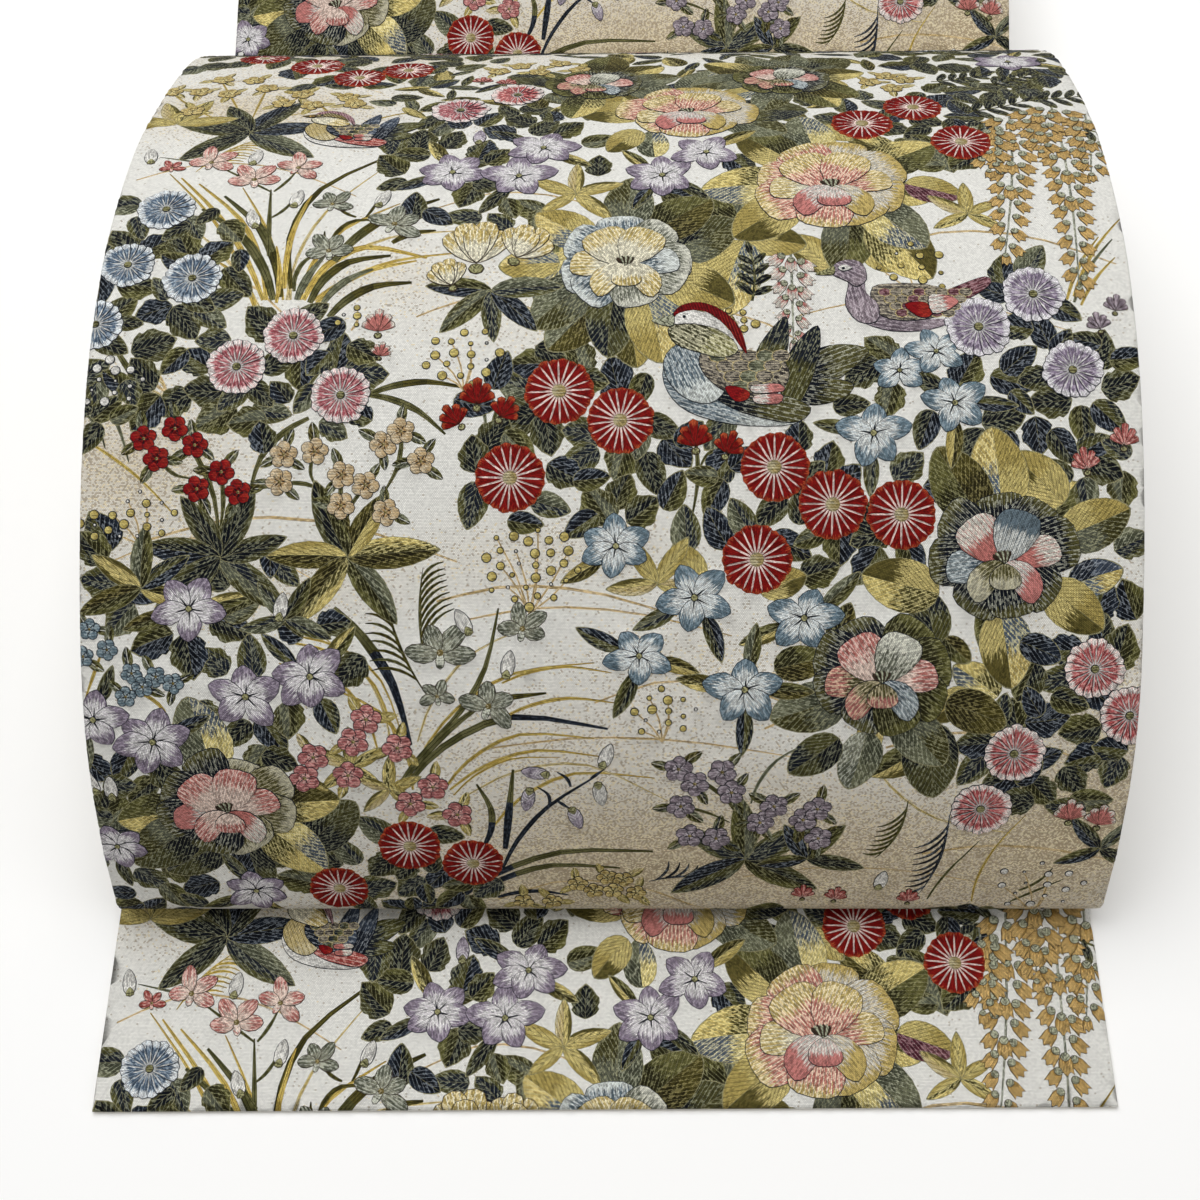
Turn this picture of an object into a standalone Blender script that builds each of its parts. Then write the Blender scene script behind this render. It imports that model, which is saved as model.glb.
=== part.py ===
"""A double-woven obi sash laid out on a table.

The cloth is one long strip.  From the front it lies as a flat tail, folds back on itself under
the drum, turns forward again and rises as the hollow drum arch, dips into a valley behind it,
and climbs onto the rest of its length, which is folded to and fro in a stack.
Metres, +Z up.  The front, where the tail ends, faces -Y.
"""
import math

import bpy
import bmesh

# Driving sizes of the cloth
WIDTH = 0.310          # selvedge to selvedge
WALL = 0.0022          # brocade face and plain reverse together
GAP = 0.0003           # clearance wherever two stretches meet

# Where the stretches begin and end, measured back from the tail's front edge
DRUM_FRONT = 0.0600    # foremost line of the drum
TUCK_BACK = 0.1150     # line where the cloth turns back under the drum
TAIL_SKEW = 0.0015     # the tail's right-hand corner lies this much further back
CURL_RADIUS = 0.0085   # outer radius of the roll at the drum's foot
TURN_RADIUS = 0.0028   # outer radius of the upper run's turn behind the stack

# The rest of the sash, folded to and fro
LAYERS = 18
LAYER_PITCH = 0.00283
STACK_FRONT = 0.4240
TOP_FOLD_BACK = 0.0260 # the top fold lies this much further back, clear of the climbing run
STACK_BACK = 0.6200
STACK_INSET = 0.0012   # the stack stands this far inside the upper run's selvedges
LAYER_GROOVE = 0.0009  # depth of the groove between two selvedges
CORNER_RADIUS = 0.0030
RINGS_PER_LAYER = 4
CORNER_STEPS = 3

# Each row: distance back, height of the brocade face, sideways drift of the cloth's middle,
# and how much further back its right selvedge lies than its left one
DRUM_ROWS = (
    # back, height, drift, skew
    (0.4030, 0.0402, 0.0074, 0.0030),
    (0.3965, 0.0438, 0.0073, 0.0030),
    (0.3850, 0.0560, 0.0072, 0.0031),
    (0.3650, 0.0762, 0.0070, 0.0032),
    (0.3450, 0.0910, 0.0066, 0.0032),
    (0.3070, 0.1090, 0.0054, 0.0030),
    (0.2780, 0.1190, 0.0044, 0.0027),
    (0.2460, 0.1245, 0.0035, 0.0023),
    (0.2210, 0.1252, 0.0030, 0.0019),
    (0.1920, 0.1210, 0.0025, 0.0015),
    (0.1670, 0.1130, 0.0022, 0.0012),
    (0.1450, 0.1030, 0.0020, 0.0009),
    (0.1240, 0.0910, 0.0018, 0.0006),
    (0.1030, 0.0765, 0.0017, 0.0004),
    (0.0850, 0.0580, 0.0016, 0.0002),
    (0.0690, 0.0330, 0.0015, 0.0000),
)
RUN_ROWS = (
    (0.4034, 0.0402, 0.0074, 0.0030),
    (0.4100, 0.0424, 0.0076, 0.0030),
    (0.4250, 0.0485, 0.0080, 0.0030),
    (0.4420, 0.0530, 0.0083, 0.0028),
    (0.4700, 0.0543, 0.0085, 0.0024),
    (0.5200, 0.0542, 0.0087, 0.0015),
    (0.5700, 0.0542, 0.0087, 0.0005),
    (0.6168, 0.0541, 0.0087, 0.0000),
)
# Sideways offset of each layer, from the table up
LAYER_SHIFT = (0.0, 0.0006, -0.0005, 0.0004, 0.0009, -0.0002,
               0.0005, -0.0007, 0.0003, 0.0008, -0.0004, 0.0002,
               -0.0006, 0.0005, 0.0001, -0.0003, 0.0007, 0.0)
STACK_DRIFT = 0.0086   # the stack's middle, under the upper run's

STEP = 0.006           # spacing of sections along the cloth
TIGHT_STEP = 0.0012    # spacing round the tight folds

BROCADE = (0.62, 0.57, 0.47)
REVERSE = (0.74, 0.70, 0.60)


def frame_origin():
    """Middle of the whole sash's footprint, where the finished part has its origin."""
    right = RUN_ROWS[-1][2] + WIDTH / 2
    left = -WIDTH / 2
    return (right + left) / 2, (STACK_BACK - TAIL_SKEW / 2) / 2


def spline(rows, step):
    """Sections read every step or so from a smooth curve through the rows."""
    sections = [rows[0]]
    last = len(rows) - 1
    for i in range(last):
        p0, p1 = rows[max(i - 1, 0)], rows[i]
        p2, p3 = rows[i + 1], rows[min(i + 2, last)]
        pieces = max(1, round(math.dist(p1[:2], p2[:2]) / step))
        for k in range(1, pieces + 1):
            t = k / pieces
            sections.append(tuple(
                0.5 * (2 * b + (c - a) * t + (2 * a - 5 * b + 4 * c - d) * t * t
                       + (3 * b - a - 3 * c + d) * t * t * t)
                for a, b, c, d in zip(p0, p1, p2, p3)))
    return sections


def arc(centre, radius, start, end, drift, skew):
    """Sections round a fold, from one angle to another in degrees, the first one left out."""
    steps = max(8, round(abs(math.radians(end - start)) * radius / TIGHT_STEP))
    sections = []
    for k in range(1, steps + 1):
        angle = math.radians(start + (end - start) * k / steps)
        sections.append((centre[0] + radius * math.cos(angle),
                         centre[1] + radius * math.sin(angle), drift, skew))
    return sections


def facing(sections, side):
    """Unit normal of the brocade face at each section; side is 1 or -1."""
    normals = []
    for i in range(len(sections)):
        a, b = sections[max(i - 1, 0)], sections[min(i + 1, len(sections) - 1)]
        dy, dz = b[0] - a[0], b[1] - a[1]
        length = math.hypot(dy, dz)
        normals.append((side * dz / length, -side * dy / length))
    return normals


def new_object(name, mesh, colour):
    """Link a finished mesh with its own cloth material."""
    material = bpy.data.materials.new(name)
    material.use_nodes = True
    shader = material.node_tree.nodes["Principled BSDF"]
    shader.inputs["Base Color"].default_value = (*colour, 1.0)
    shader.inputs["Roughness"].default_value = 0.75
    shader.inputs["Metallic"].default_value = 0.0
    data = bpy.data.meshes.new(name)
    mesh.to_mesh(data)
    mesh.free()
    data.materials.append(material)
    made = bpy.data.objects.new(name, data)
    bpy.context.scene.collection.objects.link(made)
    middle_x, middle_y = frame_origin()
    made.location = (-middle_x, -middle_y, 0.0)
    data.shade_smooth()
    data.set_sharp_from_angle(angle=math.radians(40))
    return made


def cloth(name, sections, side, colour):
    """A stretch of cloth: its brocade face runs through the sections, its wall lies behind."""
    mesh = bmesh.new()
    rings = []
    for (back, height, drift, skew), (ny, nz) in zip(sections, facing(sections, side)):
        ring = []
        for across, depth in ((-0.5, 0.0), (0.5, 0.0), (0.5, WALL), (-0.5, WALL)):
            ring.append(mesh.verts.new((drift + across * WIDTH,
                                        back + across * skew - ny * depth,
                                        height - nz * depth)))
        rings.append(ring)
    for near, far in zip(rings, rings[1:]):
        for k in range(4):
            mesh.faces.new((near[k], near[(k + 1) % 4], far[(k + 1) % 4], far[k]))
    mesh.faces.new(rings[0])
    mesh.faces.new(tuple(reversed(rings[-1])))
    bmesh.ops.recalc_face_normals(mesh, faces=mesh.faces)
    return new_object(name, mesh, colour)


def tail_end():
    """The flat tail: out from under the drum to its cut end, with the turn at its back."""
    parts = 12
    sections = [(TUCK_BACK * k / parts, WALL, 0.0, TAIL_SKEW * (1 - k / parts))
                for k in range(parts + 1)]
    sections += arc((TUCK_BACK, WALL + GAP / 2), GAP / 2, -90, 90, 0.0, 0.0)
    return cloth("tail_end", sections, -1, BROCADE)


def drum():
    """The arch, from the valley behind it over the top to the roll and the tuck underneath."""
    sections = spline(DRUM_ROWS, STEP)
    drift, skew = DRUM_ROWS[-1][2:]
    centre = (DRUM_FRONT + CURL_RADIUS, WALL + GAP + CURL_RADIUS)
    sections += arc(centre, CURL_RADIUS, 155, 270, drift, skew)
    floor = WALL + GAP
    run = TUCK_BACK - GAP - centre[0]
    sections += [(centre[0] + run * k / 6, floor, drift, skew) for k in range(1, 7)]
    return cloth("drum", sections, 1, BROCADE)


def upper_run():
    """The stretch that climbs out of the valley, lies on the stack and turns down behind it."""
    sections = spline(RUN_ROWS, STEP)
    back, height, drift, skew = RUN_ROWS[-1]
    sections += arc((back, height - TURN_RADIUS), TURN_RADIUS, 90, -90, drift, skew)
    return cloth("upper_run", sections, -1, BROCADE)


def fold_inset(height, first_fold):
    """How far a pile of folds is rounded away at a height; each fold holds two layers."""
    place = (height / LAYER_PITCH - first_fold) / 2.0
    off_middle = 2.0 * abs(place - math.floor(place) - 0.5)
    return LAYER_PITCH * (1.0 - math.sqrt(max(0.0, 1.0 - off_middle * off_middle)))


def stack_ring(layer, height, groove):
    """Corners of the stack at a height: left, right, front and back, rounded off."""
    half = WIDTH / 2 - STACK_INSET - groove
    middle = STACK_DRIFT + LAYER_SHIFT[layer]
    front = STACK_FRONT + fold_inset(height, 0)
    if layer >= LAYERS - 2:
        front += TOP_FOLD_BACK
    back = STACK_BACK - fold_inset(height, 1)
    if layer in (0, LAYERS - 1):       # the cut end, and the layer the upper run turns round
        back = RUN_ROWS[-1][0] - 2 * GAP
    points = []
    corners = ((middle + half, front, -90), (middle + half, back, 0),
               (middle - half, back, 90), (middle - half, front, 180))
    for x, y, start in corners:
        cx = x - math.copysign(CORNER_RADIUS, x - middle)
        cy = y - math.copysign(CORNER_RADIUS, y - (front + back) / 2)
        for k in range(CORNER_STEPS + 1):
            angle = math.radians(start + 90 * k / CORNER_STEPS)
            points.append((cx + CORNER_RADIUS * math.cos(angle),
                           cy + CORNER_RADIUS * math.sin(angle), height))
    return points


def folded_rest():
    """The rest of the sash as one body, with each layer's fold and selvedge showing outside."""
    mesh = bmesh.new()
    rings = []
    for layer in range(LAYERS):
        for k in range(RINGS_PER_LAYER + 1):
            share = k / RINGS_PER_LAYER
            height = (layer + share) * LAYER_PITCH
            groove = LAYER_GROOVE * abs(2 * share - 1) ** 3
            if k == RINGS_PER_LAYER and layer < LAYERS - 1:
                continue               # the next layer's first ring closes this one
            rings.append([mesh.verts.new(p) for p in stack_ring(layer, height, groove)])
    for low, high in zip(rings, rings[1:]):
        count = len(low)
        for k in range(count):
            j = (k + 1) % count
            mesh.faces.new((low[k], low[j], high[j], high[k]))
    mesh.faces.new(tuple(reversed(rings[0])))
    mesh.faces.new(rings[-1])
    bmesh.ops.recalc_face_normals(mesh, faces=mesh.faces)
    return new_object("folded_rest", mesh, REVERSE)


def main():
    for old in list(bpy.data.objects):
        bpy.data.objects.remove(old)
    tail_end()
    drum()
    upper_run()
    folded_rest()


if __name__ == "__main__":
    main()
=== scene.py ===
import functools
import math
import random

import bpy
import numpy as np
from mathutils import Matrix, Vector
from mathutils.geometry import delaunay_2d_cdt


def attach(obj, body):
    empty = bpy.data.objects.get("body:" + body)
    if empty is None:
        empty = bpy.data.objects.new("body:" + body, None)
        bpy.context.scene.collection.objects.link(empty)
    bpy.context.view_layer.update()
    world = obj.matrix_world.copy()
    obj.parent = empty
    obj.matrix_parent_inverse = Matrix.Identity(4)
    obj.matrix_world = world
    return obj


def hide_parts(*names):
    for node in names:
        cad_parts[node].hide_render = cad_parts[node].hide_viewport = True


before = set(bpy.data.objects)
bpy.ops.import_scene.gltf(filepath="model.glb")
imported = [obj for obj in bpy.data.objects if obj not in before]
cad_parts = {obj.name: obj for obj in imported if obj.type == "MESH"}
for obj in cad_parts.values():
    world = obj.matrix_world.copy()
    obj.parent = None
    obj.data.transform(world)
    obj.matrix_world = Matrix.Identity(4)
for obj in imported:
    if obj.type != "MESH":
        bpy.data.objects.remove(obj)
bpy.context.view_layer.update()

bl_info = {
    "name": "Obi Sash Dresser",
    "version": (1, 0, 0),
    "blender": (4, 5, 0),
    "location": "View3D > Sidebar > Obi",
    "description": "Weaves the figured cloth of an obi sash over its lay and sets the stage",
    "category": "Add Mesh",
}

# ---------------------------------------------------------------- sizes of the cloth and its lay
WIDTH = 0.310          # selvedge to selvedge, metres
WALL = 0.0022          # brocade face and plain reverse together
GAP = 0.0003
DRUM_FRONT = 0.0600
TUCK_BACK = 0.1150
TAIL_SKEW = 0.0015
CURL_RADIUS = 0.0085
TURN_RADIUS = 0.0028
LAYERS = 18
LAYER_PITCH = 0.00283
STACK_FRONT = 0.4240
TOP_FOLD_BACK = 0.0260
STACK_BACK = 0.6200
STACK_DRIFT = 0.0086
LAYER_SHIFT = (0.0, 0.0006, -0.0005, 0.0004, 0.0009, -0.0002,
               0.0005, -0.0007, 0.0003, 0.0008, -0.0004, 0.0002,
               -0.0006, 0.0005, 0.0001, -0.0003, 0.0007, 0.0)
DRUM_ROWS = (
    # back, height, drift of the middle, skew of the right selvedge
    (0.4030, 0.0402, 0.0074, 0.0030),
    (0.3965, 0.0438, 0.0073, 0.0030),
    (0.3850, 0.0560, 0.0072, 0.0031),
    (0.3650, 0.0762, 0.0070, 0.0032),
    (0.3450, 0.0910, 0.0066, 0.0032),
    (0.3070, 0.1090, 0.0054, 0.0030),
    (0.2780, 0.1190, 0.0044, 0.0027),
    (0.2460, 0.1245, 0.0035, 0.0023),
    (0.2210, 0.1252, 0.0030, 0.0019),
    (0.1920, 0.1210, 0.0025, 0.0015),
    (0.1670, 0.1130, 0.0022, 0.0012),
    (0.1450, 0.1030, 0.0020, 0.0009),
    (0.1240, 0.0910, 0.0018, 0.0006),
    (0.1030, 0.0765, 0.0017, 0.0004),
    (0.0850, 0.0580, 0.0016, 0.0002),
    (0.0690, 0.0330, 0.0015, 0.0000),
)
RUN_ROWS = (
    (0.4034, 0.0402, 0.0074, 0.0030),
    (0.4100, 0.0424, 0.0076, 0.0030),
    (0.4250, 0.0485, 0.0080, 0.0030),
    (0.4420, 0.0530, 0.0083, 0.0028),
    (0.4700, 0.0543, 0.0085, 0.0024),
    (0.5200, 0.0542, 0.0087, 0.0015),
    (0.5700, 0.0542, 0.0087, 0.0005),
    (0.6168, 0.0541, 0.0087, 0.0000),
)
STEP = 0.002           # spacing of the smooth sections read along the cloth
ORIGIN_X = RUN_ROWS[-1][2] / 2
ORIGIN_Y = (STACK_BACK - TAIL_SKEW / 2) / 2

MM = 0.001
WIDE = WIDTH / MM      # the flat chart is in millimetres
REPEAT = 397.0         # length of one repeat of the pattern
FOOT = 0.0             # chart height of the drum's foot


def cubic(four, t):
    """Place at a share between the middle two of four points, on the smooth curve through them."""
    return tuple(0.5 * (2 * b + (c - a) * t + (2 * a - 5 * b + 4 * c - d) * t * t
                        + (3 * b - a - 3 * c + d) * t ** 3) for a, b, c, d in zip(*four))


def around(points, i):
    """The points that shape the curve from point i to the next, doubled at an end."""
    last = len(points) - 1
    return points[max(i - 1, 0)], points[i], points[i + 1], points[min(i + 2, last)]


def spline(rows, step):
    """Sections read every step or so from a smooth curve through the rows."""
    sections = [rows[0]]
    for i in range(len(rows) - 1):
        pieces = max(1, round(math.dist(rows[i][:2], rows[i + 1][:2]) / step))
        sections += [cubic(around(rows, i), k / pieces) for k in range(1, pieces + 1)]
    return sections


def length_of(sections):
    """Length along the cloth of a row of sections."""
    return sum(math.dist(a[:2], b[:2]) for a, b in zip(sections, sections[1:]))


def arc(centre, radius, start, end, drift, skew, step=8.0):
    """Sections round a fold, from one angle to another in degrees, the first one left out."""
    steps = max(8, round(abs(end - start) / step))
    sections = []
    for k in range(1, steps + 1):
        angle = math.radians(start + (end - start) * k / steps)
        sections.append((centre[0] + radius * math.cos(angle),
                         centre[1] + radius * math.sin(angle), drift, skew))
    return sections


class Lay:
    """Where a stretch of the flat chart lies: sections along the cloth and the face's side."""

    def __init__(self, sections, side, first, rising):
        """first is the chart height of the first section; rising is 1 if heights grow along."""
        rows = np.array(sections, float)
        step = np.hypot(np.diff(rows[:, 0]), np.diff(rows[:, 1]))
        self.heights = first + rising * np.concatenate(([0.0], np.cumsum(step))) / MM
        tangent = np.gradient(rows[:, :2], axis=0)
        tangent /= np.linalg.norm(tangent, axis=1)[:, None]
        normals = side * np.stack((tangent[:, 1], -tangent[:, 0]), axis=1)
        turn = np.zeros(len(rows))
        turn[1:] = np.arccos(np.clip((tangent[1:] * tangent[:-1]).sum(axis=1), -1, 1))
        self.turned = np.cumsum(turn)
        if rising < 0:
            rows, normals = rows[::-1], normals[::-1]
            self.heights = self.heights[::-1]
            self.turned = self.turned[-1] - self.turned[::-1]
        self.rows, self.normals = rows, normals
        self.low, self.high = float(self.heights[0]), float(self.heights[-1])

    def place(self, x, y, depth):
        """Points in metres for chart places in millimetres, depth metres under the face."""
        back, height, drift, skew = (np.interp(y, self.heights, self.rows[:, k])
                                     for k in range(4))
        ny, nz = (np.interp(y, self.heights, self.normals[:, k]) for k in range(2))
        size = np.hypot(ny, nz)
        across = x / WIDE - 0.5
        return np.stack((drift + across * WIDTH - ORIGIN_X,
                         back + across * skew - ny / size * depth - ORIGIN_Y,
                         height - nz / size * depth), axis=1)

    def grid_heights(self, step, most_turn):
        """Chart heights for rows of points: evenly spaced, closer where the cloth turns."""
        picked, last_turn = [self.low], 0.0
        for y, turned in zip(self.heights, self.turned):
            if y - picked[-1] >= step or abs(turned - last_turn) >= most_turn:
                if y - picked[-1] > 0.3:
                    picked.append(float(y))
                    last_turn = turned
        if self.high - picked[-1] < 0.4 * step and len(picked) > 1:
            picked.pop()
        picked.append(self.high)
        return picked


def drum_lay():
    """The arch, its face running from the tuck up over the drum to the valley."""
    sections = spline(DRUM_ROWS, STEP)
    drift, skew = DRUM_ROWS[-1][2:]
    centre = (DRUM_FRONT + CURL_RADIUS, WALL + GAP + CURL_RADIUS)
    foot = len(sections)
    sections += arc(centre, CURL_RADIUS, 155, 270, drift, skew)
    run = TUCK_BACK - GAP - centre[0]
    sections += [(centre[0] + run * k / 12, WALL + GAP, drift, skew) for k in range(1, 13)]
    return Lay(sections, 1, FOOT + length_of(sections[:foot + 1]) / MM, -1)


def tail_lay(top):
    """The flat tail, from its cut end back to the turn under the drum."""
    parts = 24
    sections = [(TUCK_BACK * k / parts, WALL, 0.0, TAIL_SKEW * (1 - k / parts))
                for k in range(parts + 1)]
    sections += arc((TUCK_BACK, WALL + GAP / 2), GAP / 2, -90, 90, 0.0, 0.0, 20.0)
    return Lay(sections, -1, top - length_of(sections) / MM, 1)


def run_lay(bottom):
    """The stretch from the valley up onto the stack and down behind it."""
    sections = spline(RUN_ROWS, STEP)
    back, height, drift, skew = RUN_ROWS[-1]
    sections += arc((back, height - TURN_RADIUS), TURN_RADIUS, 90, -90, drift, skew)
    return Lay(sections, -1, bottom, 1)


# ---------------------------------------------------------------- silks of the pattern
def linear(code, alpha=1.0):
    """Linear colour of a hex code."""
    parts = [int(code[i:i + 2], 16) / 255 for i in (0, 2, 4)]
    return [c / 12.92 if c <= 0.04045 else ((c + 0.055) / 1.055) ** 2.4
            for c in parts] + [alpha]


SILKS = {
    # near, far and line colour, the line's share of the width, gold near and far if any; the line
    # colour also lightens a random few stitches as painted glints, more of them as the line's
    # share grows
    "ground": ("EBEAE4 CBB999 EBEAE4", 0.00),
    "navy": ("0A0E15 1C232E 8A929B", 0.12),
    "navy_olive": ("0B0F17 484626 96987E", 0.12),
    "slate": ("181E29 414B5A A2A8AE", 0.13),
    "slate_olive": ("1A202B 56542E A0A28A", 0.12),
    "slate_gold": ("5A6878 C4AF6A E0D6A0", 0.22, 0.0, 0.5),
    "olive": ("28260F 5C5A30 9C9A70", 0.12),
    "olive_navy": ("4C4A26 151B25 9A9B80", 0.12),
    "moss": ("28240D 4A441C 968D5C", 0.14, 0.0, 0.1),
    "sage": ("464939 6C6E56 ACAE96", 0.13),
    "sage_olive": ("5C5F50 403D1C A4A380", 0.13),
    "gold": ("D0C07C B2A05C 6A5E30", 0.20, 0.4, 0.4),
    "gold_olive": ("D6C682 5A5328 5A5028", 0.20, 0.4, 0.1),
    "olive_gold": ("46411D CCB970 DED294", 0.22, 0.1, 0.4),
    "gold_slate": ("D4C47E 545F6C E4DCB0", 0.20, 0.4, 0.1),
    "gold_wire": ("C0A878 CCB68C C0A878", 0.00, 0.4, 0.4),
    "gold_pale": ("CDBC8A D8CCA6 8A7840", 0.26, 0.4, 0.3),
    "ochre": ("B08C4C D0AE70 6A5A30", 0.14, 0.4, 0.4),
    "yellow": ("D2CCB4 C3AD68 F0EBD4", 0.24, 0.0, 0.2),
    "yellow_pink": ("C27A6E C8B16C F0E6CC", 0.24, 0.0, 0.2),
    "yellow_white": ("D9D5CA C7B16C A8935A", 0.20, 0.0, 0.2),
    "blue_rim": ("5E6E78 C6CBC6 D2D7D5", 0.24),
    "blue_pale": ("CED0CB 67767E 48545E", 0.20),
    "blue_grey": ("52626C 869296 D0D5D4", 0.24),
    "sage_rim": ("6C6F60 C6C6B8 D6D5C6", 0.24),
    "navy_rim": ("10151F 55522E B8B9A8", 0.14),
    "olive_rim": ("57532E BDB9A2 BCB596", 0.22),
    "olive_coral": ("57532F B4706A D6C8A8", 0.22),
    "pink_white": ("BF7870 DEDACE 9E5C58", 0.18),
    "white_pink": ("DEDBD2 C4807A A8645E", 0.18),
    "coral": ("D6BCAE BC726A E6D6CA", 0.22),
    "coral_deep": ("AC5A56 9C443E E0BCB0", 0.20),
    "red": ("80120F AC4C2C 5A0B09", 0.12),
    "red_plain": ("840F14 9A2A20 5A0A0E", 0.10),
    "ray": ("E8D2CA DDB4A8 E8D2CA", 0.00),
    "mum_blue": ("4C6076 E2E5E6 B4C0C8", 0.16),
    "mum_pink": ("A4545C E6E0DC DCB4B2", 0.16),
    "mum_lilac": ("82748A E4E2E4 C4BCC6", 0.16),
    "mum_coral": ("B05254 E8E0DA E2B8B0", 0.16),
    "mum_tip": ("D6D6D2 EAE9E5 D6D6D2", 0.00),
    "bell_lilac": ("E4E2E1 85798A A69DA8", 0.18),
    "bell_blue": ("DEE1DE 657A86 94A2AA", 0.18),
    "plum_pink": ("B46E6E A25C5A DCB0A8", 0.20),
    "plum_cream": ("DCCDB0 C8B28C A08358", 0.24, 0.1, 0.1),
    "plum_lilac": ("8A7D86 776C74 B8AFB5", 0.20),
    "plum_blue": ("72868F 5C707B A8B4B8", 0.20),
    "plum_gold": ("C2A968 A28A4C DCCF98", 0.24, 0.4, 0.4),
    "cream": ("D2C8A4 B2A06C 6E6138", 0.30, 0.2, 0.3),
    "white": ("DEDCD6 CCCAC4 DEDCD6", 0.00),
    "eye": ("5E5A36 403D20 9E9B70", 0.30),
    "berry": ("C8B974 AE9C58 C8B974", 0.00, 0.2, 0.2),
    "leaf_rim": ("8E8A68 8E8A68 8E8A68", 0.00, 0.1, 0.1),
    "ink": ("171A22 1E222B 171A22", 0.00),
    "umber": ("3A2E24 3A2E24 3A2E24", 0.00),
    "wine": ("522430 62363D A9888C", 0.22),
    "plumage": ("524D4A 393533 B8AE98", 0.30),
    "ruff": ("45442C 868354 D8D4B4", 0.30, 0.0, 0.1),
    "veil": ("8E8F7C 5C6050 C6C8BA", 0.20),
    "blade_olive": ("76734A 5A5831 20220F", 0.32),
    "blade_navy": ("10151D 1A2029 454D58", 0.16),
    "blade_sage": ("8A8C72 6C6E56 2C2E1E", 0.30),
    "blade_moss": ("625B28 45401A 18170A", 0.30),
    "blade_gold": ("D0B968 C0A756 7A6426", 0.26, 0.7, 0.7),
    "blade_pale": ("D9CA9C CCB97E 94824A", 0.26, 0.5, 0.5),
    "dove": ("746771 8A7C84 BFB4BA", 0.20),
}
SILKS = {name: (*codes.split(), share, *(gold or (0.0, 0.0)))
         for name, (codes, share, *gold) in SILKS.items()}
SILK = {name: k for k, name in enumerate(SILKS)}

# ---------------------------------------------------------------- drawing kit for the chart
BAND = 0.38            # width of an outline thread, millimetres
PLAIN = (0.0, 0.0, 0.0, 0.0)
CELL = 0.5             # side of a cell of the record of which ground is taken
SPARE = 20.0           # how far beyond the selvedges that record goes
LIFT = 13              # where a shape's numbers have how far it stands off the ground
FACTS = 17             # how many numbers a shape has
TWELFTH = 0.5236       # of a turn, in radians
TURN = 6.2832
LOBED = ((0.0, 0.0), (0.05, 0.34), (0.14, 0.72), (0.27, 0.95), (0.35, 0.84), (0.46, 0.98),
         (0.60, 0.96), (0.68, 0.74), (0.84, 0.48), (1.0, 0.0))


def taper(steps, base, tip):
    """Half-width from 0 to 1 against length, rounder at an end as its power is smaller."""
    peak = base / (base + tip)
    most = peak ** base * (1 - peak) ** tip
    along = [(1 - math.cos(math.pi * k / steps)) / 2 for k in range(steps + 1)]
    return [(a, a ** base * (1 - a) ** tip / most) for a in along]


def spots_of(place, outline):
    """Chart places of points given in shares of a shape's length and millimetres across."""
    x, y, angle, length, bend = place
    dx, dy = math.cos(math.radians(angle)), math.sin(math.radians(angle))
    spots = []
    for a, b in outline:
        along, across = a * length, b + bend * length * a * a
        spots.append((x + dx * along - dy * across, y + dy * along + dx * across))
    return spots


def off(x, y, reach, degrees):
    """The place at a distance from another, in a direction."""
    way = math.radians(degrees)
    return x + reach * math.cos(way), y + reach * math.sin(way)


def direction(a, b):
    """The direction from one place to another, in degrees."""
    return math.degrees(math.atan2(b[1] - a[1], b[0] - a[0]))


def partway(points, share):
    """The place at a share of the way along points, and the direction there."""
    last = len(points) - 1
    i = min(int(share * last), last - 1)
    spot = tuple(a + (b - a) * (share * last - i) for a, b in zip(points[i], points[i + 1]))
    return spot, direction(points[i], points[i + 1])


def in_shares(points, x, y, dx, dy, span, bend=0.0):
    """Points as shares of a span from a place and millimetres aside of it, less its bend."""
    flat = []
    for px, py in points:
        share = ((px - x) * dx + (py - y) * dy) / span
        flat.append((share, -(px - x) * dy + (py - y) * dx - bend * span * share * share))
    return flat


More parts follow.
